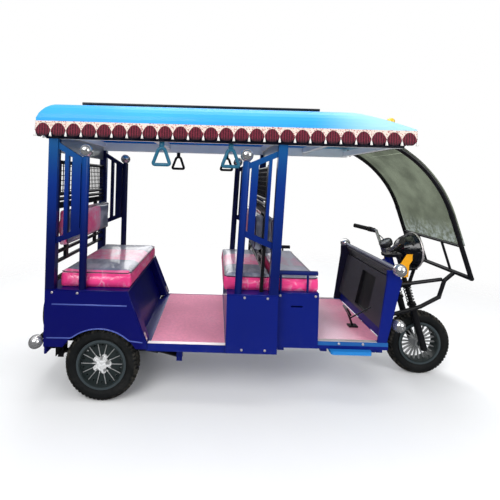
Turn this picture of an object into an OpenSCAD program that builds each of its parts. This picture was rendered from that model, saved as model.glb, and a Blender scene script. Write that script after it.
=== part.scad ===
// Electric auto rickshaw: an open three-wheeled passenger vehicle.
// X runs forward, Y to the left, Z up. The origin is on the ground at the middle of the length.

/* [Wheels] */
// Outer diameter of every tyre
tyre_d = 450; // [430:5:460]
// Section width of every tyre
tyre_w = 98; // [88:2:102]
// Diameter over the rim's lips
rim_lip_d = 304; // [290:2:316]
// Number of spokes in the front rim
spoke_count = 22; // [12:2:24]
// Number of raised ribs on each rear rim
rib_count = 14; // [10:1:20]
// Distance between the front and rear axles
wheelbase = 2180; // [2160:5:2190]
// Place of the rear axle along the length
rear_axle_x = -945; // [-955:5:-935]

/* [Body] */
// Width over the rear body panels
body_w = 900; // [890:2:930]
// Height of the rear floor deck's top
floor_z = 335; // [325:1:345]
// Height of the body top that carries the seats
seat_base_z = 655; // [620:5:680]
// Thickness of body panels with their turned edges
panel_t = 12; // [8:1:14]
// Rear end of the body panels
body_rear_x = -1285; // [-1300:5:-1270]
// Distance that each side of the driver's end is set in
front_inset = 67; // [60:1:75]

/* [Frames] */
// Height of the ball centres on the short posts
ball_z = 1493; // [1450:1:1510]
// Radius of the chrome balls
ball_r = 40; // [34:1:44]
// Diameter of the short round posts
post_d = 45; // [38:1:48]
// Forward lean of the middle frames, in degrees
mid_lean = 2.3; // [0:0.1:4]
// Underside of the roof rails
rail_z = 1560; // [1550:5:1575]

/* [Roof] */
// Distance that the roof stands out past each side of the body
roof_overhang = 30; // [24:1:40]
// Height of the roof's crown over the roof rails
roof_rise = 165; // [150:5:180]
// Thickness of the roof canopy's skin
roof_t = 8; // [6:1:10]
// Width of one scallop of the fringe
scallop_w = 92; // [80:1:110]

/* [Front] */
// Radius of the windscreen's bend
screen_r = 770; // [740:5:800]
// Distance of each windscreen tube inside the driver's end
screen_inset = 68; // [58:1:78]
// Diameter of the windscreen frame's tubes
screen_tube_d = 28; // [24:1:30]
// Rake of the steering axis, in degrees
rake = 17; // [15:0.5:20]
// Distance that the fork stands ahead of the steering axis
fork_offset = 35; // [30:1:45]
// Distance between the middles of the fork legs
fork_w = 158; // [156:2:164]
// Radius of the headlamp's rim
lamp_r = 130; // [120:2:136]

/* [Hidden] */
$fn = 64;
fit = 0.3;
joint_bulge = 2;
joint_trim = 3;
run_fit = 0.05;
tyre_r = tyre_d / 2;
rim_r = rim_lip_d / 2;
front_axle_x = rear_axle_x + wheelbase;
half_body = body_w / 2;
half_front = half_body - front_inset;
half_roof = half_body + roof_overhang;
roof_low_z = rail_z + 70;
roof_top_z = roof_low_z + roof_rise;
rear_track = body_w - 140;
screen_y = half_front - screen_inset;
// The body is drawn at its own height and lifted onto the wheels at the end
body_lift = 35;
axle_z = tyre_r - body_lift;
spare_x = body_rear_x - 92;
mid_shift = (front_axle_x + tyre_r + spare_x - tyre_w / 2) / 2;

// Tyres and rims
rim_seat_r = rim_r - 16;
bead_y = 0.36 * tyre_w;
lip_t = 5;
barrel_t = 6;
hub_r = 34;
front_axle_r = 8;
rear_spindle_r = 14;
// Rear frame
rear_post_w = 55;
post_in_y = half_body - post_d;
rear_post_x = -1068;
slat_t = 25;
// Middle frame, measured at its foot
mid_post_x = -124;
mid_tall_x = 90;
ball_seat_z = ball_z - sqrt(ball_r * ball_r - 12 * 12);
// Floor and chassis
sill_w = 30;
sill_h = 45;
mat_t = 5;
deck_t = 15;
front_step = 15;
front_floor_z = floor_z + front_step;
sill_out = half_body - panel_t;
cross_h = 40;
rail_h = 40;
rail_y = rear_track / 2 - 165;
rail_w = 40;
mid_box_rear_x = -190;
mid_box_front_x = 118;
driver_box_x = mid_box_front_x;
driver_box_front_x = 380;
floor_rear_x = -690;
floor_front_x = 800;
seat_deck_t = panel_t;
// Rear box
box_top_x = -788;
box_foot_x = -666;
flange_w = 80;
arch_r = 268;
arch_z = 157;
panel_low_z = 310;
neck_half = 25;
// Tow eye under the front beam
tow_x = floor_front_x + 45;
tow_z = 222;
tow_t = 14;
tow_hole_r = 11;
// Leg shield outline: foot, brow and top
shield_foot = [800, front_floor_z + mat_t];
shield_brow = [885, 740];
shield_top = [853, 806];
shield_rail_d = 24;
// Windscreen: the straight part leans back from its foot, then bends under the roof
screen_lean = 18.8;
screen_foot = [1379, 750];
screen_straight = 419;
// Seats
cushion_h = 102;
back_cushion_t = 60;
back_low_z = 900;
back_high_z = 1130;

body_blue = "#0a1f7a";
steel_black = "#15151a";
seat_pink = "#e0457a";
sky_blue = "#45b4f0";
chrome_grey = "#d8d8d8";
tyre_black = "#1b1b1d";

// Box between two opposite corners
module block(low, high) {
    translate(low) cube(high - low);
}

// The same piece on the right and on the left
module both_sides() {
    children();
    mirror([0, 1, 0]) children();
}

// A flat shape drawn in X and Z, as thick as the way from y0 to y1
module across(y0, y1) {
    translate([0, y1, 0]) rotate([90, 0, 0]) linear_extrude(y1 - y0) children();
}

// A flat shape drawn in Y and Z, as thick as the way from x0 to x1
module along(x0, x1) {
    translate([x0, 0, 0]) rotate([90, 0, 90]) linear_extrude(x1 - x0) children();
}

// Round bar between two points
module bar(a, b, d) {
    v = b - a;
    translate(a) rotate([0, acos(v.z / norm(v)), atan2(v.y, v.x)]) cylinder(d = d, h = norm(v));
}

// Bars through a list of points, with a slightly larger ball where two of them meet
module bent_bar(points, d, trim_ends = false) {
    last = len(points) - 2;
    for (i = [0 : last]) {
        run = points[i + 1] - points[i];
        way = run / norm(run) * joint_trim;
        from = points[i] + (i > 0 || trim_ends ? way : 0 * way);
        to = points[i + 1] - (i < last || trim_ends ? way : 0 * way);
        bar(from, to, d);
    }
    for (i = [1 : 1 : last]) translate(points[i]) sphere(d = d + joint_bulge);
}

// The same point on the other side
function flip_y(p) = [p.x, -p.y, p.z];

// Points on an arc of radius r about centre c
function arc(c, r, from, to, steps) =
    [for (i = [0 : steps]) let (a = from + (to - from) * i / steps) c + r * [cos(a), sin(a)]];

// Rectangle with round corners, from low to high
module round_rect(low, high, r) {
    polygon(concat(
        arc([high.x - r, high.y - r], r, 0, 90, 4), arc([low.x + r, high.y - r], r, 90, 180, 4),
        arc([low.x + r, low.y + r], r, 180, 270, 4), arc([high.x - r, low.y + r], r, 270, 360, 4)));
}

// Chrome ball that sits flat on a post or rail end at the origin
module seated_ball() {
    difference() {
        translate([0, 0, ball_z - ball_seat_z]) sphere(r = ball_r);
        translate([0, 0, -ball_r]) cylinder(r = ball_r, h = ball_r);
    }
}

// Wheels: each turns about Y at the origin
module tyre() {
    shoulder = [[0.46, 22], [0.36, 9], [0.18, 2], [0, 0], [-0.18, 2], [-0.36, 9], [-0.46, 22]];
    color(tyre_black) rotate([90, 0, 0]) rotate_extrude() polygon(concat(
        [[rim_seat_r + fit, -bead_y], [rim_seat_r + fit, bead_y], [rim_r + 3, bead_y],
         [rim_r + 12, 0.45 * tyre_w], [(rim_r + tyre_r) / 2, 0.5 * tyre_w]],
        [for (s = shoulder) [tyre_r - s[1], s[0] * tyre_w]],
        [[(rim_r + tyre_r) / 2, -0.5 * tyre_w], [rim_r + 12, -0.45 * tyre_w], [rim_r + 3, -bead_y]]));
}

module rim_barrel() {
    out_y = bead_y + fit + lip_t;
    rotate([90, 0, 0]) rotate_extrude() {
        translate([rim_seat_r - barrel_t, -out_y]) square([barrel_t, 2 * out_y]);
        for (side = [-1, 1])
            translate([rim_seat_r - barrel_t, side * (out_y - lip_t / 2) - lip_t / 2])
                square([rim_r - rim_seat_r + barrel_t, lip_t]);
    }
}

// Spokes run from the hub to just inside the barrel's outer face
module spokes(count, width, depth, y) {
    for (i = [0 : count - 1])
        rotate([0, i * 360 / count, 0])
            block([hub_r - 4, y - depth / 2, -width / 2], [rim_seat_r - 2, y + depth / 2, width / 2]);
}

module front_wheel_rim() {
    hub_half = 40;
    color(steel_black) difference() {
        union() {
            rim_barrel();
            spokes(spoke_count, 6, 16, 0);
            translate([0, hub_half, 0]) rotate([90, 0, 0]) cylinder(r = hub_r, h = 2 * hub_half);
        }
        translate([0, 60, 0]) rotate([90, 0, 0]) cylinder(r = front_axle_r + run_fit, h = 120);
    }
}

// Rear rim: a dished disc with raised ribs, and a hub with round lobes and nuts, facing -Y
module rear_wheel_rim() {
    disc_y = -10;
    disc_t = 8;
    rib_h = 6;
    lobe_at = 42;
    lobe_r = 17;
    lobe_count = 5;
    face_y = disc_y - disc_t;
    color(steel_black) difference() {
        union() {
            rim_barrel();
            translate([0, disc_y, 0]) rotate([90, 0, 0]) cylinder(r = rim_seat_r - 2, h = disc_t);
            spokes(rib_count, 4, rib_h + 2, face_y - rib_h / 2 + 1);
            translate([0, 26, 0]) rotate([90, 0, 0]) cylinder(r = hub_r, h = 44);
            translate([0, face_y + 1, 0]) rotate([90, 0, 0]) cylinder(r1 = 40, r2 = 34, h = rib_h + 16);
            for (i = [0 : lobe_count - 1])
                rotate([0, i * 360 / lobe_count, 0]) translate([lobe_at, face_y + 1, 0]) rotate([90, 0,
                        0]) {
                    cylinder(r = lobe_r, h = rib_h + 5);
                    cylinder(r = 8, h = rib_h + 14, $fn = 6);
                }
        }
        translate([0, 60, 0]) rotate([90, 0, 0]) cylinder(r = rear_spindle_r + run_fit, h = 75);
        for (i = [0 : rib_count - 1])
            rotate([0, (i + 0.5) * 360 / rib_count, 0]) translate([rim_seat_r - 20, 0, 0])
                rotate([90, 0, 0]) cylinder(r = 6, h = 60, center = true, $fn = 24);
    }
}

module at_front_axle() { translate([front_axle_x, 0, axle_z]) children(); }
module at_rear_right() { translate([rear_axle_x, -rear_track / 2, axle_z]) children(); }
module at_rear_left() { mirror([0, 1, 0]) at_rear_right() children(); }

// Chassis: two long rails, cross tubes, sills, and the neck that holds the steering head
module chassis_frame() {
    rear_cross = [body_rear_x + 35, floor_rear_x - 10, -480, -150, 90];
    front_cross = [160, 430, 735, floor_front_x - 20];
    sill_top = floor_z + mat_t;
    front_sill_top = front_floor_z + mat_t;
    rail_top = floor_z - deck_t - cross_h;
    rail_low = rail_top - rail_h;
    color(body_blue) difference() {
        union() {
            both_sides() block([body_rear_x + panel_t, rail_y - rail_w / 2, rail_low],
                               [floor_front_x + 50, rail_y + rail_w / 2, rail_top]);
            for (x = rear_cross)
                block([x - 20, -(sill_out - sill_w) - 1, rail_top - 1], [x + 20, sill_out - sill_w + 1,
                        floor_z - deck_t]);
            for (x = front_cross)
                block([x - 20, -(half_front - sill_w) - 1, rail_top - 1],
                      [x + 20, half_front - sill_w + 1, front_floor_z - deck_t]);
            both_sides() {
                block([floor_rear_x, sill_out - sill_w, sill_top - sill_h], [driver_box_x - 6, sill_out,
                        sill_top]);
                block([driver_box_x - 6, half_front - sill_w, front_sill_top - sill_h],
                      [floor_front_x + 20, half_front, front_sill_top]);
            }
            // Link between the wide rear sill and the narrow front sill
            both_sides() block([driver_box_x - 46, half_front - sill_w, sill_top - sill_h],
                               [driver_box_x - 6, sill_out, floor_z - deck_t]);
            // Cross beam, down tube and steering head
            block([floor_front_x + 20, -rail_y - rail_w / 2, rail_low], [floor_front_x + 70,
                    rail_y + rail_w / 2, rail_top]);
            across(-neck_half, neck_half) polygon([[floor_front_x + 30, rail_low + 2],
                    [floor_front_x + 68, rail_low + 2],
                [bumper_cross.x + 18, bumper_cross.y - 35], fork_point(-165, head_from - 2),
                        fork_point(-fork_offset - 20, head_from + 18),
                fork_point(-fork_offset - 20, head_to - 20), fork_point(-140, head_to - 35),
                        fork_point(-212, head_from + 43)]);
            steering_axis() translate([0, 0, head_from]) cylinder(r = head_r, h = head_to - head_from);
            spring_hangers();
            block([tow_x - 20, -tow_t / 2, tow_z - 22], [tow_x + 20, tow_t / 2, rail_top + 1]);
        }
        steering_axis() translate([0, 0, head_from - 60]) cylinder(r = stem_r + run_fit,
                h = head_to - head_from + 120);
        translate([tow_x, tow_t, tow_z]) rotate([90, 0, 0]) cylinder(r = tow_hole_r, h = 2 * tow_t);
    }
}

// Fork frame: origin at the front axle, Z up along the fork legs, X forward
module fork_frame() { at_front_axle() rotate([0, -rake, 0]) children(); }
module steering_axis() { fork_frame() translate([-fork_offset, 0, 0]) children(); }
stem_r = 15;
head_r = 28;
head_from = 483;
head_to = 661;
function fork_point(x, z) = [front_axle_x + x * cos(rake) - z * sin(rake),
        axle_z + x * sin(rake) + z * cos(rake)];

module floor_deck() {
    color(body_blue) {
        block([floor_rear_x, -(sill_out - sill_w), floor_z - deck_t], [driver_box_x - 6,
                sill_out - sill_w, floor_z]);
        block([floor_rear_x - 115, -rear_track / 2 + 80, floor_z - deck_t], [floor_rear_x + 1,
                rear_track / 2 - 80, floor_z]);
        block([driver_box_x - 6 + fit, -(half_front - sill_w), front_floor_z - deck_t],
              [floor_front_x, half_front - sill_w, front_floor_z]);
    }
}

module floor_mats() {
    color("#e58aa0") {
        block([box_foot_x + 20, -(sill_out - sill_w - 4), floor_z], [mid_box_rear_x - 4,
                sill_out - sill_w - 4, floor_z + mat_t]);
        block([driver_box_front_x + 4, -(half_front - sill_w - 4), front_floor_z],
              [shield_foot.x - 6, half_front - sill_w - 4, front_floor_z + mat_t]);
    }
}

// Rounded step boards, bolted under the front sills
module side_steps() {
    step_from = 460;
    step_to = 710;
    step_t = 22;
    step_out = 30;
    top = front_floor_z + mat_t - sill_h;
    color(sky_blue) both_sides() translate([0, 0, top - step_t]) linear_extrude(step_t)
        round_rect([step_from, half_front - sill_w - 40], [step_to, half_front + step_out], 14);
}

// Sloped edge of the rear box, moved by dx and as thick as t
module box_slope(dx, t, low) {
    polygon([[box_top_x + dx, seat_base_z - seat_deck_t], [box_top_x + dx - t, seat_base_z - seat_deck_t],
             [box_foot_x + dx - t, low], [box_foot_x + dx, low]]);
}

// Side of the rear box with its wheel arch and its turned front edge, on the right
module rear_side_panel() {
    sill_top = floor_z + mat_t;
    color(body_blue) {
        across(-half_body, -sill_out) difference() {
            polygon([[body_rear_x, seat_base_z], [body_rear_x, panel_low_z], [box_foot_x, panel_low_z],
                     [box_foot_x, sill_top], [box_top_x, seat_base_z]]);
            translate([rear_axle_x - 5, arch_z]) circle(r = arch_r, $fn = 96);
        }
        across(-sill_out - 1, -(half_body - flange_w)) box_slope(0, panel_t, sill_top);
    }
}
module rear_side_panel_right() { rear_side_panel(); }
module rear_side_panel_left() { mirror([0, 1, 0]) rear_side_panel(); }

module rear_back_panel() {
    color(body_blue) block([body_rear_x, -sill_out, panel_low_z - 50], [body_rear_x + panel_t, sill_out,
            seat_base_z]);
}

// Deck under the rear seat, the panel below it that is set back, and its two cheeks
module rear_seat_base() {
    recess = 50;
    cheek_y = half_body - flange_w;
    color(body_blue) {
        block([body_rear_x + panel_t, -sill_out, seat_base_z - seat_deck_t], [box_top_x, sill_out,
                seat_base_z]);
        across(-cheek_y, cheek_y) box_slope(-recess, panel_t, floor_z);
        both_sides() across(cheek_y - panel_t, cheek_y) box_slope(0, recess + 1, floor_z + mat_t);
    }
}

module bench_box() {
    color(body_blue) {
        block([mid_box_rear_x, -sill_out, seat_base_z - seat_deck_t], [mid_box_front_x, sill_out,
                seat_base_z]);
        block([mid_box_rear_x, -(sill_out - sill_w), floor_z],
              [mid_box_rear_x + panel_t, sill_out - sill_w, seat_base_z - seat_deck_t]);
    }
}

module mid_side_panels() {
    color(body_blue) both_sides()
        block([mid_box_rear_x, sill_out, panel_low_z - 10], [mid_box_front_x, half_body, seat_base_z]);
}

// Box under the driver's seat, with a small vent in each side
module driver_box() {
    vent = [72, 10];
    vent_x = driver_box_x + 90;
    vent_z = seat_base_z - 90;
    color(body_blue) difference() {
        union() {
            block([driver_box_x, -half_front - panel_t, seat_base_z - seat_deck_t],
                  [driver_box_front_x, half_front + panel_t, seat_base_z]);
            block([driver_box_front_x - panel_t, -half_front - 1, front_floor_z + mat_t],
                  [driver_box_front_x, half_front + 1, seat_base_z]);
            both_sides() block([driver_box_x, half_front, panel_low_z + 5],
                               [driver_box_front_x, half_front + panel_t, seat_base_z]);
        }
        block([vent_x, -half_front - panel_t - 1, vent_z], [vent_x + vent.x, half_front + panel_t + 1,
                vent_z + vent.y]);
    }
}

module battery_pack() {
    color(steel_black) block([mid_box_rear_x + 40, -half_front + 53, floor_z], [mid_box_front_x - 20,
            half_front - 53, floor_z + 225]);
}

// Rear side frame on the right: a tall corner post, a short round post, and the slats between
module rear_side_frame() {
    tall_x = body_rear_x + rear_post_w;
    bar_h = 38;
    high = rail_z - 20;
    color(steel_black) {
        block([body_rear_x, -half_body, seat_base_z], [tall_x, -post_in_y, rail_z]);
        translate([rear_post_x, -half_body + post_d / 2, seat_base_z]) cylinder(d = post_d,
                h = ball_seat_z - seat_base_z);
        across(-half_body + 10, -half_body + 10 + slat_t) {
            polygon([[tall_x - 1, high], [rear_post_x, ball_z - 53], [rear_post_x, ball_z - 53 - bar_h],
                    [tall_x - 1, high - bar_h]]);
            polygon([[tall_x - 1, 965], [rear_post_x, 1035], [rear_post_x, 1035 - bar_h], [tall_x - 1,
                    965 - bar_h]]);
            translate([tall_x + 40, 970]) square([24, high - 1015]);
            translate([rear_post_x - 77, 985]) square([53, ball_z - 1023]);
        }
    }
}
module rear_side_frame_right() { rear_side_frame(); }
module rear_side_frame_left() { mirror([0, 1, 0]) rear_side_frame(); }

// Frame that leans forward about its foot on the seat deck
module mid_frame_place() { translate([0, 0, seat_base_z]) rotate([0, mid_lean, 0]) children(); }

// Middle side frame on the right: a short round post, a tall post, and the slats between
module mid_side_frame() {
    bar_h = 38;
    low = ball_z - 58 - seat_base_z;
    high = rail_z - 20 - seat_base_z;
    color(steel_black) {
        intersection() {
            mid_frame_place() translate([mid_post_x, -half_body + post_d / 2, -30]) cylinder(d = post_d,
                    h = 1000);
            block([-300, -half_body - 10, seat_base_z], [300, 0, ball_seat_z]);
        }
        intersection() {
            mid_frame_place() {
                block([mid_tall_x - rear_post_w / 2, -half_body, -30], [mid_tall_x + rear_post_w / 2,
                        -post_in_y, 1000]);
                across(-half_body + 10, -half_body + 10 + slat_t) {
                    polygon([[mid_post_x, low], [mid_tall_x, high], [mid_tall_x, high - bar_h],
                            [mid_post_x, low - bar_h]]);
                    polygon([[mid_post_x, 384], [mid_tall_x, 305], [mid_tall_x, 305 - bar_h], [mid_post_x,
                            384 - bar_h]]);
                    translate([mid_post_x + 32, 345]) square([42, low - 345]);
                    translate([mid_tall_x - 79, 320]) square([20, low - 270]);
                }
            }
            block([-300, -half_body - 10, seat_base_z], [300, 0, rail_z]);
        }
    }
}
module mid_side_frame_right() { mid_side_frame(); }
module mid_side_frame_left() { mirror([0, 1, 0]) mid_side_frame(); }

// Balls on the short posts and on the ends of the cross tubes and the shield's rail
module chrome_balls() {
    mid_top_x = mid_post_x + (ball_seat_z - seat_base_z) * tan(mid_lean);
    tube_ends = [[bumper_cross.x, bumper_half, bumper_cross.y], [shield_rail.x, half_front, shield_rail.y],
                 [rear_bumper_at.x, rear_bumper_half, rear_bumper_at.y]];
    color(chrome_grey) both_sides() {
        for (x = [rear_post_x, mid_top_x]) translate([x, half_body - post_d / 2,
                ball_seat_z]) seated_ball();
        for (p = tube_ends) translate(p) rotate([-90, 0, 0]) seated_ball();
    }
}
bumper_cross = [920, 435];
bumper_half = half_front - 103;
rear_bumper_at = [-1333, 334];
rear_bumper_half = half_body - 45;
shield_rail = [shield_top.x + 6, shield_top.y + shield_rail_d / 2];

// Welded wire grille: a plate full of square holes, between half_w to each side
module wire_grille(half_w, low, high, wire) {
    columns = 26;
    rows = 7;
    pitch_y = 2 * half_w / columns;
    pitch_z = (high - low) / rows;
    difference() {
        translate([-half_w, low]) square([2 * half_w, high - low]);
        for (i = [0 : columns - 1], j = [0 : rows - 1])
            translate([-half_w + i * pitch_y + wire / 2, low + j * pitch_z + wire / 2])
                square([pitch_y - wire, pitch_z - wire]);
    }
}

// Rear grille and seat tubes between the corner posts
module rear_grille() {
    x = body_rear_x + rear_post_w / 2;
    w = post_in_y;
    color(steel_black) {
        along(x - 2.5, x + 2.5) wire_grille(w, 1214, 1430, 5);
        for (z = [800, 860, 1190, 1222, 1422]) bar([x, -w, z], [x, w, z], 25);
        block([x - 10, -w, 1132], [x + 10, w, 1170]);
        for (y = [-250, 250]) block([x - 8, y - 15, 800], [x + 12, y + 15, 1160]);
    }
}

// Middle grille and seat tubes on two uprights of their own
module mid_grille() {
    x = 21;
    w = post_in_y - 25;
    upright = 20;
    color(steel_black) intersection() {
        mid_frame_place() {
            along(x - 2.5, x + 2.5) translate([0, -seat_base_z]) wire_grille(w, 1214, 1430, 5);
            translate([0, 0, -seat_base_z]) {
                for (z = [800, 860, 1190, 1222, 1422]) bar([x, -w, z], [x, w, z], 22);
                block([x - 10, -w, 1132], [x + 10, w, 1170]);
                for (y = [-230, 230]) block([x - 10, y - 15, 800], [x + 10, y + 15, 1160]);
                both_sides() block([x - 10, w - 1, seat_base_z - 20], [x + 10, w + upright, 1440]);
                both_sides() for (z = [1050, 1380])
                    block([x - 10, w, z - 10], [x + 10, half_body - 10 - slat_t, z + 10]);
            }
        }
        block([-300, -half_body, seat_base_z], [300, half_body, rail_z]);
    }
}

// Bright panels that close the space under the roof, at the back and behind the driver
module header_panels() {
    rear_x = body_rear_x + rear_post_w / 2;
    color(chrome_grey) {
        block([rear_x - 3, -post_in_y, rail_z - 80], [rear_x + 3, post_in_y, rail_z + 30]);
        block([header_mid_x - 3, -post_in_y, rail_z - 60], [header_mid_x + 3, post_in_y, rail_z + 30]);
    }
}
header_mid_x = mid_tall_x + (rail_z - 20 - seat_base_z) * tan(mid_lean);

// Box with round edges seen from the side, for a cushion
module cushion(x0, x1, half_w, z0, z1, r) {
    color(seat_pink) across(-half_w, half_w) round_rect([x0, z0], [x1, z1], r);
}
module rear_seat_cushion() {
    cushion(body_rear_x + 63, box_top_x + 8, post_in_y - 4, seat_base_z, seat_base_z + cushion_h, 22);
}
module rear_back_cushion() {
    x = body_rear_x + rear_post_w / 2 + 12;
    cushion(x, x + back_cushion_t, post_in_y - 20, back_low_z, back_high_z - 4, 20);
}
module bench_cushion() {
    cushion(mid_box_rear_x - 25, mid_box_front_x - 26, half_front - 7, seat_base_z,
            seat_base_z + cushion_h - 8, 22);
}
module driver_cushion() {
    cushion(driver_box_x + 4, driver_box_front_x + 8, half_front - 7, seat_base_z,
            seat_base_z + cushion_h - 8, 22);
}
module mid_back_cushions() {
    x = 21;
    mid_frame_place() translate([0, 0, -seat_base_z]) {
        cushion(x - 10 - 55, x - 10, post_in_y - 33, back_low_z, back_high_z, 18);
        cushion(x + 10, x + 10 + 45, post_in_y - 33, back_low_z - 20, back_high_z - 10, 16);
    }
}

// Tube rails at the ends of the driver's seat, each on two stub posts
module driver_seat_rails() {
    y = half_front + 4;
    z = seat_base_z + 121;
    d = 28;
    color(steel_black) both_sides() {
        bar([driver_box_x + 2, y, z], [driver_box_front_x - 10, y, z], d);
        for (x = [driver_box_x + 25, driver_box_front_x - 70])
            translate([x, y, seat_base_z]) cylinder(d = 14, h = z - seat_base_z);
    }
}

// Roof frame: two long rails and the cross tubes between them
module roof_frame() {
    rail_x0 = -1300;
    rail_x1 = 850;
    rail_y0 = half_body - 40;
    top = roof_low_z;
    cross_x = [body_rear_x + rear_post_w / 2, -700, header_mid_x, 480];
    color(body_blue) {
        both_sides() block([rail_x0, rail_y0, rail_z], [rail_x1, half_body, top]);
        for (x = cross_x) block([x - 20, -rail_y0 - 1, rail_z + 30], [x + 20, rail_y0 + 1, top]);
        block([810, -rail_y0 - 1, rail_z + 8], [rail_x1, rail_y0 + 1, rail_z + 48]);
    }
}

// Outline of the canopy from the front and from the side, drawn t inside its outer faces
function roof_section(t) = let (w = half_roof - t, h = roof_top_z - t) [
    [w, roof_low_z], [w, h - 115], [w - 4, h - 92], [w - 14, h - 70], [w - 30, h - 49], [w - 52, h - 32],
    [w - 80, h - 20], [w - 112, h - 13], [w - 200, h - 7], [w - 320, h - 2], [0, h]];
function roof_side(t) = let (x0 = roof_rear_x + t, x1 = roof_front_x - t, h = roof_top_z - t) [
    [x0, roof_low_z], [x0, h - 118], [x0 + 14, h - 86], [x0 + 38, h - 51], [x0 + 66, h - 24], [x0 + 95,
            h - 7],
    [x0 + 125, h], [roof_bend_x - t / 4, h], [x1, roof_front_z - t], [x1, roof_low_z]];
roof_rear_x = -1350;
roof_front_x = 905;
roof_bend_x = 490;
roof_front_z = roof_low_z + 38;
module roof_form(t) {
    half = roof_section(t);
    intersection() {
        along(roof_rear_x - 10, roof_front_x + 10)
            polygon(concat(half, [for (i = [len(half) - 2 : -1 : 0]) [-half[i].x, half[i].y]]));
        across(-half_roof - 10, half_roof + 10) polygon(roof_side(t));
    }
}

module roof_canopy() {
    color(sky_blue) difference() {
        roof_form(0);
        intersection() {
            roof_form(roof_t);
            block([roof_rear_x, -half_roof, roof_low_z + roof_t], [roof_front_x, half_roof, roof_top_z]);
        }
        block([roof_rear_x + 70, -half_roof + 60, roof_low_z - 1], [roof_front_x - 70, half_roof - 60,
                roof_low_z + roof_t + 1]);
    }
}

// One run of the fringe, a band with scallops below it, from a to b
module fringe_run(a, b, tip_z = rail_z + 12) {
    count = round((b - a) / scallop_w);
    pitch = (b - a) / count;
    band_z = roof_low_z + 30;
    drop = 26;
    translate([a, tip_z + drop]) square([b - a, band_z - tip_z - drop]);
    for (i = [0 : count - 1])
        polygon([for (k = [0 : 8]) let (u = k / 8) [a + pitch * (i + u),
                tip_z + drop + 1 - (drop + 1) * sin(180 * u)]]);
}

module roof_fringe() {
    t = 3;
    y = half_roof + fit;
    color("#8c1f3a") {
        both_sides() across(y, y + t) fringe_run(roof_rear_x, roof_front_x);
        along(roof_rear_x - fit - t, roof_rear_x - fit) fringe_run(-half_roof, half_roof);
        along(roof_front_x + fit, roof_front_x + fit + t) fringe_run(-half_roof, half_roof, rail_z + 24);
    }
}

// Low luggage rack of round tube on short feet
module roof_rack() {
    y = half_roof - 180;
    d = 18;
    z = roof_top_z + 11;
    x0 = -1150;
    x1 = 380;
    stations = 4;
    color(steel_black) {
        both_sides() {
            bar([x0, y, z], [x1, y, z], d);
            for (i = [0 : stations - 1])
                translate([x0 + 40 + i * (x1 - x0 - 80) / (stations - 1), y, roof_top_z + fit - 7.9])
                    cylinder(d = 14, h = z - roof_top_z + 7);
        }
        for (i = [0 : stations - 1])
            let (x = x0 + 40 + i * (x1 - x0 - 80) / (stations - 1)) bar([x, -y, z], [x, y, z], d);
    }
}

module roof_marker_lamp() {
    x = 830;
    slope = atan2(roof_top_z - roof_front_z, roof_front_x - roof_bend_x);
    z = roof_top_z - (x - roof_bend_x) * tan(slope);
    color("#f0b020") translate([x, 0, z]) rotate([0, slope, 0]) translate([0, 0, fit])
        linear_extrude(30) round_rect([-28, -50], [28, 50], 12);
}

// Hanging grab handles: a strap and a loop of thick bar, wider at its foot
module grab_handles() {
    y = half_body - 20;
    top = rail_z - 34;
    half_top = 22;
    half_foot = 50;
    height = 105;
    d = 15;
    color(steel_black) both_sides() for (x = [-610, -190]) {
        block([x - 13, y - 4, top], [x + 13, y + 4, rail_z]);
        bent_bar([[x - half_top, y, top], [x - half_foot, y, top - height], [x + half_foot, y,
                top - height],
                  [x + half_top, y, top], [x - half_top, y, top]], d, trim_ends = true);
        translate([x - half_top, y, top]) sphere(d = d + joint_bulge);
    }
}

// Points on the windscreen's line at a way s up the straight part
screen_dir = [-sin(screen_lean), cos(screen_lean)];
screen_bend = screen_foot + screen_straight * screen_dir;
screen_centre = screen_bend - screen_r * [cos(screen_lean), sin(screen_lean)];
screen_end_x = 858;
screen_sweep = acos((screen_end_x - screen_centre.x) / screen_r) - screen_lean;
function screen_point(z, y) = [screen_foot.x - (z - screen_foot.y) * tan(screen_lean), y, z];

module screen_sweep_place() {
    translate([screen_centre.x, 0, screen_centre.y]) rotate([90, 0, 0]) rotate([0, 0,
            screen_lean]) children();
}

module windscreen_frame() {
    mid_z = 955;
    sleeve = 14;
    corner = screen_point(screen_foot.y, screen_y);
    bend = [screen_bend.x, screen_y, screen_bend.y];
    way = (bend - corner) / norm(bend - corner);
    color(steel_black) {
        both_sides() {
            bar(corner + way * joint_trim, bend - way, screen_tube_d);
            screen_sweep_place() rotate([0, 0, 0.1]) rotate_extrude(angle = screen_sweep - 0.1)
                translate([screen_r, screen_y]) circle(d = screen_tube_d);
            bar(bend - way * sleeve, bend + way * sleeve, screen_tube_d + 3);
            translate(corner) sphere(d = screen_tube_d + joint_bulge);
            bar(screen_point(screen_foot.y, 130), screen_point(mid_z, 130), 16);
        }
        bar(flip_y(corner) + [0, joint_trim, 0], corner - [0, joint_trim, 0], screen_tube_d);
        bar(screen_point(mid_z, -screen_y), screen_point(mid_z, screen_y), 20);
    }
}

// Clear sheet that lies on the front of the windscreen tubes
module windscreen() {
    sheet_t = 4;
    r = screen_r + screen_tube_d / 2 + fit;
    half_w = screen_y + 10;
    low = 205 / cos(screen_lean);
    color("#d8e8f0", 0.4) {
        screen_sweep_place() rotate_extrude(angle = screen_sweep - 7.5) translate([r,
                -half_w]) square([sheet_t, 2 * half_w]);
        screen_sweep_place() translate([r, -(screen_straight - low), -half_w])
            cube([sheet_t, screen_straight - low, 2 * half_w]);
    }
}

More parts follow.
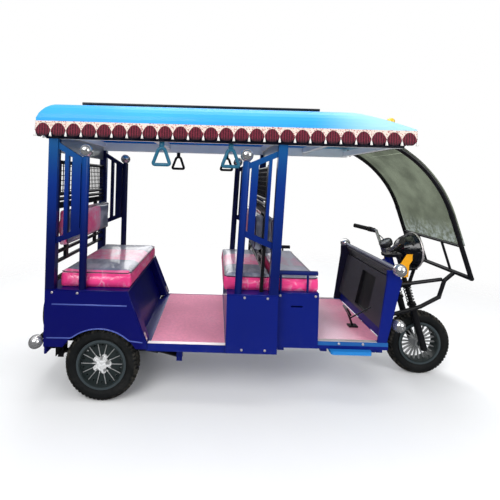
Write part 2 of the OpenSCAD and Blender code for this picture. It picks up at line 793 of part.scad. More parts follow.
// Bumper tubes that carry the windscreen frame, and the cross tubes for the balls
module front_bumper() {
    y = fork_w / 2 + 89;
    d = 25;
    stay_y = y - d - joint_bulge / 2 - fit;
    knee = [1310, 690];
    tip = screen_foot - (screen_tube_d / 2 + fit / 2) * (screen_foot - knee) / norm(screen_foot - knee);
    joint = [bumper_cross.x, y, bumper_cross.y];
    color(steel_black) both_sides() {
        bent_bar([[floor_front_x + 71 + d / 2, y, 250], joint, [1150, y, 506], [1275, y, 575], [knee.x, y,
                knee.y],
                  [tip.x, y, tip.y]], d);
        bar([joint.x, neck_half + fit, joint.z], joint - [0, joint_trim, 0], d);
        bar(joint + [0, joint_trim, 0], [joint.x, bumper_half, joint.z], d);
        // The upper stay lies against the inner side of the lower one
        bent_bar([[joint.x + 1, stay_y, joint.z + d / 2 + 1.2], [935, stay_y, 640], [1060, stay_y, 651],
                  [knee.x, stay_y, knee.y]], d);
    }
}

// Leg shield: a creased front panel with side flanges and a rail on top
module leg_shield() {
    t = panel_t;
    flange_top = 80;
    flange_low = 45;
    color(body_blue) {
        across(-half_front, half_front) polygon([shield_foot, shield_foot + [t, 0], shield_brow + [t, 0],
            shield_top + [t, 0], shield_top, shield_brow]);
        both_sides() across(half_front - t, half_front) polygon([shield_foot - [flange_low, 0],
                shield_foot + [1, 0],
            shield_brow + [1, 0], shield_top + [1, 0], shield_top - [flange_top * 0.6, 0],
                    shield_brow - [flange_top, 0]]);
        bar([shield_rail.x, -half_front, shield_rail.y - 1], [shield_rail.x, half_front,
                shield_rail.y - 1], shield_rail_d);
    }
}
function shield_back_x(z) = shield_foot.x + (z - shield_foot.y) * (shield_brow.x - shield_foot.x)
        / (shield_brow.y - shield_foot.y);

// Liner behind the shield, with an open pocket near its middle
module dash_liner() {
    t = 22;
    low = 420;
    high = 735;
    half_w = half_front - panel_t - 6;
    color("#b9bcc4") translate([-fit, 0, 0]) difference() {
        across(-half_w, half_w) polygon([[shield_back_x(low), low], [shield_back_x(high), high],
            [shield_back_x(high) - t, high], [shield_back_x(low) - t, low]]);
        across(-143, 58) polygon([[shield_back_x(440) - t - 1, 440], [shield_back_x(440) - 6, 440],
            [shield_back_x(690) - 6, 690], [shield_back_x(690) - t - 1, 690]]);
    }
}

// Brake pedal: a foot plate, a lever, a pad, and the rod that runs forward
module brake_pedal() {
    base = [690, -160, front_floor_z + mat_t];
    pad = [635, -200, 480];
    color(steel_black) {
        block(base - [30, 22, 0], base + [30, 22, 10]);
        bar(base + [0, 0, 8], pad, 14);
        translate(pad) rotate([0, 60, 0]) linear_extrude(12, center = true) round_rect([-28, -38], [28,
                38], 8);
        bar((base + pad) / 2, [shield_back_x(500) - 30, -185, 500], 9);
    }
}

// Rear axle with the drive gear's housing, the spring pads, the drums and the wheel spindles
module rear_axle() {
    tube_r = 35;
    tube_half = rear_track / 2 - 58;
    pad_top = spring_z - 1;
    color(steel_black) translate([rear_axle_x, 0, axle_z]) {
        translate([0, tube_half, 0]) rotate([90, 0, 0]) cylinder(r = tube_r, h = 2 * tube_half);
        translate([0, 70, 0]) rotate([90, 0, 0]) cylinder(r = 80, h = 140);
        both_sides() {
            block([-35, spring_y - 24, 0], [35, spring_y + 24, pad_top - axle_z]);
            translate([0, rear_track / 2 - 36, 0]) rotate([90, 0, 0]) cylinder(r = 85, h = 28);
            translate([0, rear_track / 2 + 13, 0]) rotate([90, 0, 0]) cylinder(r = rear_spindle_r, h = 80);
        }
    }
}
spring_y = rear_track / 2 - 92;
spring_w = 44;
spring_z = axle_z + 47;
spring_leaf = 8;
spring_front = [rear_axle_x + 465, 192];
spring_rear = [rear_axle_x - 295, 196];
spring_eye_r = 17;
spring_pin_r = 8;

module drive_motor() {
    color(steel_black) translate([rear_axle_x + 80, 0, axle_z]) rotate([0, 90, 0]) {
        cylinder(r = 58, h = 20);
        translate([0, 0, 20]) cylinder(r = 64, h = 180);
        translate([0, 0, 200]) cylinder(r = 50, h = 14);
    }
}

// One leaf, a share of the spring's length, whose top is at z over the axle
module leaf(share, z) {
    steps = 8;
    eye = spring_z + 2.5 * spring_leaf;
    front = spring_front - [rear_axle_x, eye];
    rear = spring_rear - [rear_axle_x, eye];
    xs = [for (i = [-steps : steps]) share * (i < 0 ? -rear.x : front.x) * i / steps];
    drop = function (x) x < 0 ? rear.y * pow(x / rear.x, 2) : front.y * pow(x / front.x, 2);
    polygon(concat([for (x = xs) [rear_axle_x + x, z + drop(x)]],
                   [for (i = [len(xs) - 1 : -1 : 0]) [rear_axle_x + xs[i],
                           z - spring_leaf + drop(xs[i])]]));
}

module leaf_springs() {
    color(steel_black) both_sides() across(spring_y - spring_w / 2, spring_y + spring_w / 2) difference() {
        union() {
            leaf(1, spring_z + 3 * spring_leaf);
            leaf(0.7, spring_z + 2 * spring_leaf + 0.2);
            leaf(0.4, spring_z + spring_leaf + 0.4);
            for (p = [spring_front, spring_rear]) translate(p) circle(r = spring_eye_r);
        }
        for (p = [spring_front, spring_rear]) translate(p) circle(r = spring_pin_r + fit);
    }
}

// Cheeks and pins that hold the springs' eyes under the chassis
module spring_hangers() {
    cheek_t = 5;
    gap = 2;
    top = floor_z - deck_t - cross_h;
    both_sides() for (p = [spring_front, spring_rear]) {
        for (side = [-1, 1])
            let (y = spring_y + side * (spring_w / 2 + gap + cheek_t / 2))
                block([p.x - 18, y - cheek_t / 2, p.y - 20], [p.x + 18, y + cheek_t / 2, top + 1]);
        translate([p.x, spring_y + spring_w / 2 + 12, p.y]) rotate([90, 0, 0]) cylinder(r = spring_pin_r,
                h = spring_w + 24);
    }
}

module rear_bumper() {
    d = 30;
    stay_y = 250;
    color(steel_black) both_sides() {
        bar([rear_bumper_at.x, stay_y - 15, rear_bumper_at.y], [rear_bumper_at.x, rear_bumper_half,
                rear_bumper_at.y], d);
        block([rear_bumper_at.x, stay_y - 15, rear_bumper_at.y - 10], [body_rear_x, stay_y + 25,
                rear_bumper_at.y + 10]);
    }
}

// Spare wheel: it hangs on a stud behind the back panel
spare_at = [spare_x, 0, 395];
module spare_place() { translate(spare_at) rotate([0, 0, -90]) children(); }
module spare_carrier() {
    hub_in = 26;
    color(steel_black) spare_place() {
        block([-90, body_rear_x - 10 - spare_at.x - 1, -40], [90, body_rear_x - spare_at.x, 40]);
        translate([0, body_rear_x - spare_at.x - 5, 0]) rotate([90, 0, 0])
            cylinder(r = 30, h = body_rear_x - spare_at.x - 5 - hub_in - fit);
        translate([0, hub_in + 5, 0]) rotate([90, 0, 0]) cylinder(r = rear_spindle_r - fit,
                h = hub_in + 15);
    }
}
module spare_tyre() { spare_place() tyre(); }
module spare_rim() { spare_place() rear_wheel_rim(); }

module tail_lamps() {
    color("#c01818") both_sides() along(body_rear_x - 25, body_rear_x)
        round_rect([half_body - 150, 560], [half_body - 70, 636], 12);
}

module mud_flaps() {
    x = body_rear_x + 35 + 20;
    color(tyre_black) both_sides() block([x, rear_track / 2 - 50, 230], [x + 4, sill_out - sill_w,
            floor_z - deck_t - 2]);
}

// Steering fork: two telescopic legs, coil springs, two clamps, the stem and the wheel's axle
leg_r = 22;
leg_top = 312;
stanchion_r = 15;
clamp_low = 456;
clamp_t = 22;
clamp_high = head_to + 5;
spring_mean_r = 24;
wire_d = 7;
module clamp_plate(z, t) {
    translate([0, 0, z]) linear_extrude(t) difference() {
        union() {
            polygon([[-fork_offset - 30, -34], [-fork_offset - 30, 34], [-10, fork_w / 2 + 22], [20,
                    fork_w / 2 + 22],
                     [20, -fork_w / 2 - 22], [-10, -fork_w / 2 - 22]]);
        }
        translate([12, 0]) circle(r = 20);
    }
}
module front_fork() {
    color(steel_black) fork_frame() {
        union() {
            both_sides() translate([0, fork_w / 2, 0]) {
                translate([0, 0, -24]) cylinder(r = leg_r, h = leg_top + 24);
                cylinder(r = stanchion_r, h = clamp_high + clamp_t - 2);
                translate([0, 0, leg_top - 4]) cylinder(r = 30, h = 8);
                translate([0, 0, clamp_low - 8]) cylinder(r = 30, h = 9);
            }
            clamp_plate(clamp_low, clamp_t);
            clamp_plate(clamp_high, clamp_t - 2);
            translate([-fork_offset, 0, clamp_low + 5]) cylinder(r = stem_r, h = clamp_high - clamp_low);
            translate([0, fork_w / 2 + 10, 0]) rotate([90, 0, 0]) cylinder(r = front_axle_r,
                    h = fork_w + 20);
        }
    }
}

// Coil springs that stand on the legs' seats: a bent outline turned as it rises
module fork_springs() {
    turns = 6;
    steps = 16;
    corners = 10;
    pitch = (spring_top - spring_low - wire_d) / turns;
    half_turn = wire_d / 2 / pitch * 360;
    color(chrome_grey) fork_frame() both_sides() translate([0, fork_w / 2,
            spring_low + fit]) intersection() {
        translate([0, 0, -pitch / 2])
            linear_extrude((turns + 1) * pitch, twist = -360 * (turns + 1), slices = (turns + 1) * steps,
                    segments = corners)
                polygon([for (i = [0 : corners - 1])
                    let (t = 360 * i / corners, a = half_turn * sin(t),
                            r = spring_mean_r + wire_d / 2 * cos(t))
                        r * [cos(a), sin(a)]]);
        cylinder(r = 40, h = spring_top - spring_low - 2 * fit);
    }
}
spring_low = leg_top + 4;
spring_top = clamp_low - 8;

// Handlebar in the fork's frame: a riser on the upper clamp and a bar swept up and back
bar_d = 22;
riser_h = 44;
bar_mid = fork_point(-fork_offset, clamp_high + clamp_t - 2 + riser_h - 12);
bar_bend = [1010, 190, 966];
bar_end = [908, 350, 982];
grip_share = 0.62;
module handlebar() {
    color(steel_black) {
        fork_frame() block([-fork_offset - 22, -38, clamp_high + clamp_t - 2],
                           [-fork_offset + 22, 38, clamp_high + clamp_t - 2 + riser_h]);
        bent_bar([flip_y(bar_end), flip_y(bar_bend), [bar_mid.x, -62, bar_mid.y], [bar_mid.x, 62,
                bar_mid.y],
                  bar_bend, bar_end], bar_d);
    }
}

// Grips with the lever perches and levers beside them
module handlebar_grips() {
    from = bar_end + (bar_bend - bar_end) * grip_share;
    run = bar_end - from;
    way = run / norm(run);
    color(tyre_black) both_sides() difference() {
        union() {
            bar(from, bar_end + way * 4, 34);
            bar(from - way * 34, from - way * 6, 40);
            bent_bar([from - way * 20, from + [42, 22, -6], from + way * 120 + [52, 34, -14]], 11);
        }
        bar(from - way * 60, bar_end, bar_d + 2 * fit);
    }
}

// Headlamp: a bowl turned about X, its lens, and the bracket on the fork legs
lamp_at = [1180, 858];
module lamp_place() { translate([lamp_at.x, 0, lamp_at.y]) rotate([0, 90, 0]) children(); }
module headlamp_bowl() {
    color(steel_black) {
        lamp_place() difference() {
            rotate_extrude() polygon([[0, -118], [44, -114], [76, -94], [98, -66], [lamp_r - 14, -28],
                    [lamp_r, -10],
                [lamp_r, 8], [lamp_r - 8, 12], [lamp_r - 12, 12], [lamp_r - 12, -8], [lamp_r - 24, -26],
                        [86, -62], [0, -84]]);
            translate([0, 0, -8]) cylinder(r = lamp_r - 12, h = 40);
        }
        both_sides() translate([lamp_at.x - 70, 0, lamp_at.y - 25]) rotate([-90, 0, 0]) translate([0, 0,
                84]) cylinder(r = 12, h = lamp_ear_y - 84);
    }
}
lamp_ear_y = 104;
module headlamp_lens() {
    color("#dfe8ee", 0.6) lamp_place() translate([0, 0, -8]) cylinder(r = lamp_r - 12 - fit, h = 16);
}
module headlamp_bracket() {
    ear_t = 5;
    mid = fork_point(0, 571);
    color("#f2a71b") difference() {
        union() {
            both_sides() across(lamp_ear_y, lamp_ear_y + ear_t) polygon([[mid.x - 40, mid.y + 25],
                    [lamp_at.x - 95, lamp_at.y - 8],
                [lamp_at.x - 56, lamp_at.y - 8], [lamp_at.x - 56, lamp_at.y - 50], [lamp_at.x - 78,
                        lamp_at.y - 84],
                [mid.x + 30, mid.y - 48], [mid.x - 5, mid.y - 48]]);
            fork_frame() both_sides() for (z = [546, 591]) translate([0, fork_w / 2, z]) {
                cylinder(r = 23, h = 16);
                translate([-10, 0, 0]) cube([20, lamp_ear_y + 1 - fork_w / 2, 16]);
            }
        }
        fork_frame() both_sides() translate([0, fork_w / 2, 526]) cylinder(r = stanchion_r + fit, h = 120);
    }
}

module front_tyre() { at_front_axle() tyre(); }
module front_rim() { at_front_axle() front_wheel_rim(); }
module rear_tyre_right() { at_rear_right() tyre(); }
module rear_rim_right() { at_rear_right() rear_wheel_rim(); }
module rear_tyre_left() { at_rear_left() tyre(); }
module rear_rim_left() { at_rear_left() rear_wheel_rim(); }

// Stands the drawn body on the ground, about the middle of the length
module on_ground() { translate([-mid_shift, 0, body_lift]) children(); }

on_ground() chassis_frame();
on_ground() floor_deck();
on_ground() floor_mats();
on_ground() side_steps();
on_ground() rear_side_panel_right();
on_ground() rear_side_panel_left();
on_ground() rear_back_panel();
on_ground() rear_seat_base();
on_ground() bench_box();
on_ground() driver_box();
on_ground() mid_side_panels();
on_ground() battery_pack();
on_ground() rear_side_frame_right();
on_ground() rear_side_frame_left();
on_ground() mid_side_frame_right();
on_ground() mid_side_frame_left();
on_ground() rear_grille();
on_ground() mid_grille();
on_ground() header_panels();
on_ground() chrome_balls();
on_ground() rear_seat_cushion();
on_ground() rear_back_cushion();
on_ground() bench_cushion();
on_ground() driver_cushion();
on_ground() mid_back_cushions();
on_ground() driver_seat_rails();
on_ground() roof_frame();
on_ground() roof_canopy();
on_ground() roof_fringe();
on_ground() roof_rack();
on_ground() roof_marker_lamp();
on_ground() grab_handles();
on_ground() windscreen_frame();
on_ground() windscreen();
on_ground() front_bumper();
on_ground() leg_shield();
on_ground() dash_liner();
on_ground() brake_pedal();
on_ground() rear_axle();
on_ground() drive_motor();
on_ground() leaf_springs();
on_ground() rear_bumper();
on_ground() spare_carrier();
on_ground() spare_tyre();
on_ground() spare_rim();
on_ground() tail_lamps();
on_ground() mud_flaps();
on_ground() front_fork();
on_ground() fork_springs();
on_ground() handlebar();
on_ground() handlebar_grips();
on_ground() headlamp_bowl();
on_ground() headlamp_lens();
on_ground() headlamp_bracket();
on_ground() front_tyre();
on_ground() front_rim();
on_ground() rear_tyre_right();
on_ground() rear_rim_right();
on_ground() rear_tyre_left();
on_ground() rear_rim_left();
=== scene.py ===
import bpy, bmesh, math
import numpy as np
from mathutils import Matrix, Vector
from mathutils.bvhtree import BVHTree


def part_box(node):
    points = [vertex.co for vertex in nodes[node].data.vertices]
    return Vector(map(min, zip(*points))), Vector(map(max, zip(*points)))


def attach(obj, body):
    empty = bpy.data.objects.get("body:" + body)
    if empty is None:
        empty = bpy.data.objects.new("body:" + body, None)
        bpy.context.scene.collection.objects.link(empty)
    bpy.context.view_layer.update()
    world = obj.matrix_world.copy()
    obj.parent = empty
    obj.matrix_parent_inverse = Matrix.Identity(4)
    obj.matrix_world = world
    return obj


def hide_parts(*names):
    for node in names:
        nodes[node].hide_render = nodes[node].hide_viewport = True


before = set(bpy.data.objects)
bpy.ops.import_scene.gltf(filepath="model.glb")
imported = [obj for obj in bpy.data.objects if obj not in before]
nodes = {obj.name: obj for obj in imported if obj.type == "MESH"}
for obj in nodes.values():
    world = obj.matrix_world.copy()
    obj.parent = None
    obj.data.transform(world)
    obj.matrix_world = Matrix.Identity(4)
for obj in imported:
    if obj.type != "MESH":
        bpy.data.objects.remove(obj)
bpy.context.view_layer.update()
scene = bpy.context.scene
print("stage: frame loaded,", len(nodes), "nodes")

# The camera stands where the photo was taken from
cameraSetup = {
    "place": (-0.287, -2.40, 1.385),
    "roll": 0.028,                   # the photo leans to the right
    "focalPixels": 325.0,
    "middlePixel": (217.0, 178.0),   # where the viewing axis meets the picture
    "picture": 500.0,
}


def makeCamera(setup):
    data = bpy.data.cameras.new("photoCamera")
    data.sensor_width = 36.0
    data.sensor_fit = "HORIZONTAL"
    data.lens = 36.0 * setup["focalPixels"] / setup["picture"]
    half = setup["picture"] / 2
    data.shift_x = (half - setup["middlePixel"][0]) / setup["picture"]
    data.shift_y = (setup["middlePixel"][1] - half) / setup["picture"]
    data.clip_start = 0.05
    camera = bpy.data.objects.new("photoCamera", data)
    look = Matrix.Rotation(math.pi / 2, 4, "X")     # level
    roll = Matrix.Rotation(setup["roll"], 4, "Z")
    camera.matrix_world = Matrix.Translation(setup["place"]) @ look @ roll
    scene.collection.objects.link(camera)
    scene.camera = camera


makeCamera(cameraSetup)
scene.view_settings.view_transform = "Standard"

lightSetup = {
    # name: (place, aim, size, watts)
    "keyPanel": ((-2.2, -4.2, 4.2), (0.0, 0.0, 0.9), 3.2, 190),
    "fillPanel": ((3.6, -3.4, 2.6), (0.2, 0.0, 0.9), 2.6, 105),
    "topPanel": ((0.0, 0.6, 5.0), (0.0, 0.0, 0.8), 4.0, 150),
    "backPanel": ((-1.0, 4.6, 3.0), (0.0, 0.0, 0.9), 3.0, 70),
}


def makeLights(setup):
    for name, (place, aim, size, watts) in setup.items():
        data = bpy.data.lights.new(name, "AREA")
        data.shape = "SQUARE"
        data.size = size
        data.energy = watts
        lamp = bpy.data.objects.new(name, data)
        turn = (Vector(aim) - Vector(place)).to_track_quat("-Z", "Y")
        lamp.matrix_world = Matrix.Translation(place) @ turn.to_matrix().to_4x4()
        scene.collection.objects.link(lamp)


makeLights(lightSetup)


def shadeOf(colour, factor):
    return tuple(min(1.0, c * factor) for c in colour)


class Value:
    # One socket of a node tree; sums of values add their own Math nodes
    def __init__(self, tree, socket):
        self.tree, self.socket = tree, socket

    def __add__(self, other): return self.tree.math("ADD", self, other)
    def __radd__(self, other): return self.tree.math("ADD", other, self)
    def __sub__(self, other): return self.tree.math("SUBTRACT", self, other)
    def __rsub__(self, other): return self.tree.math("SUBTRACT", other, self)
    def __mul__(self, other): return self.tree.math("MULTIPLY", self, other)
    def __rmul__(self, other): return self.tree.math("MULTIPLY", other, self)
    def __pow__(self, other): return self.tree.math("POWER", self, other)
    def __gt__(self, other): return self.tree.math("GREATER_THAN", self, other)
    def __lt__(self, other): return self.tree.math("LESS_THAN", self, other)
    def __abs__(self): return self.tree.math("ABSOLUTE", self)


class Tree:
    # A node tree and the means to add nodes to it
    def __init__(self, nodeTree):
        self.nodes, self.links = nodeTree.nodes, nodeTree.links

    def add(self, kind, settings=None, inputs=None, out=0):
        node = self.nodes.new(kind)
        for key, value in (settings or {}).items():
            if key == "stops":
                ramp = node.color_ramp.elements
                while len(ramp) < len(value):
                    ramp.new(1.0)
                for stop, (place, grey) in zip(ramp, value):
                    stop.position = place
                    stop.color = (grey, grey, grey, 1.0)
            else:
                setattr(node, key, value)
        for key, value in (inputs or {}).items():
            if isinstance(value, Value):
                self.links.new(value.socket, node.inputs[key])
            else:
                node.inputs[key].default_value = value
        return Value(self, node.outputs[out])

    def math(self, operation, a, b=0.0):
        return self.add("ShaderNodeMath", {"operation": operation}, {0: a, 1: b})

    def clamp(self, value):
        return self.add("ShaderNodeClamp", {}, {"Value": value})

    def step(self, value, low, high):
        return self.add("ShaderNodeMapRange", {"interpolation_type": "SMOOTHSTEP"},
                        {"Value": value, "From Min": low, "From Max": high})

    def mix(self, factor, a, b):
        a, b = (c if isinstance(c, Value) else (*c, 1.0) for c in (a, b))
        return self.add("ShaderNodeMix", {"data_type": "RGBA"}, {0: factor, 6: a, 7: b}, out=2)

    def tone(self, factor, colour, low, high):
        return self.mix(factor, shadeOf(colour, low), shadeOf(colour, high))

    def mixShader(self, factor, a, b):
        return self.add("ShaderNodeMixShader", {}, {0: factor, 1: a, 2: b})

    def ray(self, kind):
        return self.add("ShaderNodeLightPath", out=kind)

    def place(self, centre=(0, 0, 0), scale=(1, 1, 1), turn=(0, 0, 0)):
        where = self.add("ShaderNodeTexCoord", out="Object")
        shift = tuple(-c * s for c, s in zip(centre, scale))
        return self.add("ShaderNodeMapping", {"vector_type": "POINT"},
                        {"Vector": where, "Location": shift, "Scale": scale, "Rotation": turn})

    def axes(self, where=None):
        where = where or self.add("ShaderNodeTexCoord", out="Object")
        node = self.nodes.new("ShaderNodeSeparateXYZ")
        self.links.new(where.socket, node.inputs[0])
        return [Value(self, o) for o in node.outputs]

    def noise(self, scale, detail=3.0, roughness=0.5, where=None):
        return self.add("ShaderNodeTexNoise", {}, {"Vector": where or self.place(), "Scale": scale,
                                                   "Detail": detail, "Roughness": roughness})

    def cells(self, scale, where=None):
        return self.add("ShaderNodeTexVoronoi", {}, {"Vector": where or self.place(), "Scale": scale})


class Finish(Tree):
    # A material with one Principled shader; plain holds the sockets that are the same all over
    def __init__(self, name, **plain):
        self.material = bpy.data.materials.new(name)
        self.material.use_nodes = True
        super().__init__(self.material.node_tree)
        self.shader = self.nodes["Principled BSDF"]
        for socket, value in plain.items():
            self.shader.inputs[socket].default_value = value

    def colour(self, value): return self.link(value, "Base Color")
    def rough(self, value): return self.link(value, "Roughness")
    def metal(self, value): return self.link(value, "Metallic")

    def link(self, value, socket):
        self.links.new(value.socket, self.shader.inputs[socket])
        return self

    def bump(self, height, strength, distance):
        inputs = {"Strength": strength, "Distance": distance, "Height": height}
        return self.link(self.add("ShaderNodeBump", {}, inputs), "Normal")


# Gloss paint on steel: slow colour drift, fine orange peel, a little road dust low down
def paintFinish(name, colour, rough=0.3, coat=0.12, dust=0.06, peel=0.006, layers=()):
    f = Finish(name, **{"Coat Weight": coat, "Coat Roughness": 0.1, "Specular IOR Level": 0.2})
    drift = f.noise(2.2, 3.0)
    fine = f.noise(26.0, 5.0, 0.65)
    x, y, z = f.axes()
    low = f.step(z, 0.55, 0.1) * f.step(fine, 0.4, 0.8) * dust
    painted = f.tone(drift, colour, 0.84, 1.16)
    for where, other in layers:
        painted = f.mix(where(f, x, y, z), painted, f.tone(drift, other, 0.84, 1.16))
    f.colour(f.mix(low, painted, (0.2, 0.18, 0.16)))
    f.rough(fine * 0.12 + (rough - 0.05) + low * 0.5)
    return f.bump(f.noise(240.0, 2.0), peel, 0.002).material


# Bright plate with faint smears
def plateFinish(name, colour=(0.74, 0.74, 0.75), rough=0.05, smear=0.1):
    f = Finish(name, **{"Metallic": 0.82})
    fine = f.noise(14.0, 5.0, 0.6)
    f.colour(f.mix(fine, shadeOf(colour, 0.86), colour))
    f.rough(fine * smear + rough)
    return f.bump(f.noise(420.0, 2.0), 0.02, 0.001).material


# Rubber: dull black with dust in its grain
def rubberFinish(name, colour=(0.006, 0.007, 0.0075), dust=0.1, rough=0.74, middle=None, axis="Y"):
    f = Finish(name, **{"Specular IOR Level": 0.16})
    fine = f.noise(38.0, 6.0, 0.7)
    broad = f.noise(5.0, 3.0)
    shade = f.mix(f.step(fine * broad, 0.16, 0.5) * dust, colour, (0.16, 0.145, 0.13))
    if middle:
        x, y, z = f.axes(f.place(centre=middle))
        across = y if axis == "Y" else x
        tread = f.step((x * x + y * y + z * z - across * across) ** 0.5, 0.196, 0.212)
        shade = f.mix(tread * f.step(fine, 0.42, 0.62) * 0.7, shade, (0.07, 0.063, 0.05))
    f.colour(shade)
    f.rough(fine * 0.2 + rough - 0.1)
    return f.bump(f.noise(520.0, 3.0), 0.16, 0.0015).material


# Moulded plastic with a fine grain
def plasticFinish(name, colour, rough=0.45, layers=()):
    f = Finish(name, **{"Coat Roughness": 0.1})
    drift = f.noise(6.0, 3.0)
    moulded = f.tone(drift, colour, 0.82, 1.15)
    for where, other in layers:
        moulded = f.mix(where(f, *f.axes()), moulded, other)
    f.colour(moulded)
    f.rough(f.noise(60.0, 3.0) * 0.14 + rough - 0.07)
    return f.bump(f.cells(700.0), 0.1, 0.0008).material


# Clear sheet or lamp glass: thin, so it is see-through without bending light
def clearFinish(name, colour, alpha, rough=0.04, smear=0.1):
    f = Finish(name, **{"Specular IOR Level": 0.4, "Coat Weight": 0.12, "Coat Roughness": 0.15})
    fine = f.noise(7.0, 4.0, 0.6)
    f.colour(f.mix(fine, shadeOf(colour, 0.9), colour))
    f.rough(fine * 0.05 + rough)
    f.link(f.clamp(fine * smear + (alpha - smear / 2)), "Alpha")
    return f.material


# Lamp cover with moulded flutes
def lampFinish(name, colour, flute=90.0):
    f = Finish(name, **{"Coat Weight": 0.8, "Coat Roughness": 0.04})
    x, y, z = f.axes()
    wave = f.math("SINE", y * (flute * 6.28))
    f.colour(f.tone(wave * 0.25 + 0.5, colour, 0.75, 1.25))
    f.rough(wave * 0.03 + 0.14)
    return f.bump(wave, 0.25, 0.002).material


# Pale world and floor: white where the camera looks at it, softer for the light it gives
stageSetup = {
    "light": ((0.92, 0.95, 1.0, 1.0), 0.42),
    "street": ((0.0, 0.03), (0.2, 0.08), (1.0, 1.0)),   # height and grey of what gloss mirrors
    "road": (0.05, 0.05, 0.05, 1.0),                    # what gloss mirrors in place of the floor
    "floor": ((0.93, 0.93, 0.93), (0.96, 0.96, 0.96)),
    "fade": (1.8, 4.5),                                 # the floor thins out, so that no horizon shows
    "half": 6.0,
}


def makeWorld(setup):
    world = bpy.data.worlds.new("paleStudio")
    scene.world = world
    world.use_nodes = True
    world.node_tree.nodes.clear()
    t = Tree(world.node_tree)
    height = t.axes(t.add("ShaderNodeTexCoord", out="Generated"))[2]
    mirrored = t.add("ShaderNodeValToRGB", {"stops": setup["street"]}, {0: height})
    colour, strength = setup["light"]
    shown = t.add("ShaderNodeBackground", {}, {"Color": colour, "Strength": strength})
    street = t.add("ShaderNodeBackground", {}, {"Color": mirrored})
    white = t.add("ShaderNodeBackground", {}, {"Color": (1.0, 1.0, 1.0, 1.0)})
    for kind, shade in (("Is Glossy Ray", street), ("Is Camera Ray", white), ("Is Transmission Ray", white)):
        shown = t.mixShader(t.ray(kind), shown, shade)
    t.links.new(shown.socket, t.nodes.new("ShaderNodeOutputWorld").inputs[0])


def makeFloor(setup):
    f = Finish("floorPaint", **{"Roughness": 0.9, "Specular IOR Level": 0.1})
    f.colour(f.mix(f.noise(3.0), *setup["floor"]))
    x, y, z = f.axes()
    fade = f.step((x * x + y * y) ** 0.5, *setup["fade"])
    shown = f.mixShader(fade, Value(f, f.shader.outputs[0]), f.add("ShaderNodeBsdfTransparent"))
    road = f.add("ShaderNodeBsdfDiffuse", {}, {"Color": setup["road"]})
    shown = f.mixShader(f.ray("Is Glossy Ray") * (1 - f.ray("Is Transmission Ray")), shown, road)
    f.links.new(shown.socket, f.nodes["Material Output"].inputs["Surface"])
    mesh = bpy.data.meshes.new("studioFloor")
    half = setup["half"]
    corners = [(-half, -half, 0), (half, -half, 0), (half, half, 0), (-half, half, 0)]
    mesh.from_pydata(corners, [], [(0, 1, 2, 3)])
    mesh.materials.append(f.material)
    floor = bpy.data.objects.new("studioFloor", mesh)
    scene.collection.objects.link(floor)


makeWorld(stageSetup)
makeFloor(stageSetup)
print("stage: camera, lights and floor")

navy = (0.0012, 0.009, 0.16)
skyBlue = (0.035, 0.37, 0.86)
pink = (0.84, 0.04, 0.23)
# The drawing's millimetres to the frame's metres, by the back panel's rear face and top edge
panelRear, panelTop = -1.285, 0.655
panelLow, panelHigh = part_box("rear_back_panel")
drawn = Vector((panelLow[0] - panelRear, 0.0, panelHigh[2] - panelTop))


def at(x, y, z):
    return Vector((x, y, z)) / 1000 + drawn


def atX(x): return at(x, 0, 0).x
def atZ(z): return at(0, 0, z).z


# Places on one node that take a second colour
# Painted shade: the side frames' inner, cabin-side faces are darker
def innerSideShade(f, x, y, z): return f.step(abs(y), 0.428, 0.424)
def frontSill(f, x, y, z): return (x > atX(114)) * (abs(y) > 0.34) * (z > atZ(331))
def topRail(f, x, y, z): return z > atZ(806.5)
# Painted shade: the far, left-side handles and seat rail are darker than the near ones
def leftSideShade(f, x, y, z): return y > 0.0
def cabinSide(f, x, y, z): return abs(y) < 0.437
# Painted shade: the posts' outer faces darken towards their feet, and more so on the rear posts
def lowPostShade(f, x, y, z): return f.step(z, atZ(1330), atZ(700)) * (abs(y) > 0.426)
def rearLowShade(f, x, y, z): return lowPostShade(f, x, y, z) * (x < atX(-900))
# Painted highlight: the posts' outer faces turn paler and bluer near the top, a painted sky reflection
def topPostHighlight(f, x, y, z): return f.step(z, atZ(1250), atZ(1640)) * (abs(y) > 0.426)
def underRear(f, x, y, z): return (x < atX(-670)) * (z < atZ(330))
def farFlange(f, x, y, z): return y > 0.36
# Painted shade: the rear box's panels are darker than the rest of the body
def rearBoxShade(f, x, y, z): return f.step(x, atX(-640), atX(-700))
# Painted highlight: the roof's front slope is paler
def frontSlopeHighlight(f, x, y, z): return f.step(x, atX(250), atX(760)) * 0.85
# Painted shade: the pocket's shaded inside is painted near-black on the liner
def pocketShade(f, x, y, z): return (y > -0.144) * (y < 0.059) * (z > atZ(439)) * (z < atZ(691))


# Tinted clear sheet: light passes straight through it; its broad light and dark mottling and a paler band
# low down are painted reflection
def sheetFinish(name, tint, filmSheen):
    f = Finish(name, **{"Transmission Weight": 1.0, "IOR": 1.08, "Roughness": 0.03,
                        "Coat Weight": 0.15, "Coat Roughness": 0.12})
    x, y, z = f.axes()
    fine = f.noise(34.0, 5.0, 0.65)
    broad = f.noise(5.0, 3.0)
    low = f.step(z, atZ(1130), atZ(960)) * f.step(fine, 0.4, 0.62) * 0.7
    clear = f.tone(f.step(broad, 0.3, 0.7), tint, 0.72, 1.3)
    f.colour(f.mix(low, clear, filmSheen))
    return f.material


# Ribbed floor mat
def matFinish(name, colour, pale):
    f = Finish(name, **{"Specular IOR Level": 0.3})
    x, y, z = f.axes()
    ribs = f.math("SINE", x * (6.28 / 0.012))
    fine = f.noise(45.0, 5.0, 0.7)
    broad = f.noise(3.0, 3.0)
    worn = f.tone(f.step(fine * broad, 0.12, 0.42), colour, 0.88, 1.1)
    worn = f.mix(f.step(broad, 0.55, 0.8) * 0.3, worn, (0.5, 0.36, 0.36))
    glare = f.step(x, atX(740), atX(480)) * 0.8 + f.step(broad, 0.4, 0.7) * 0.15
    f.colour(f.mix((x > atX(380)) * glare, worn, pale))
    f.rough(fine * 0.2 + 0.6)
    return f.bump(ribs + fine, 0.22, 0.0016).material


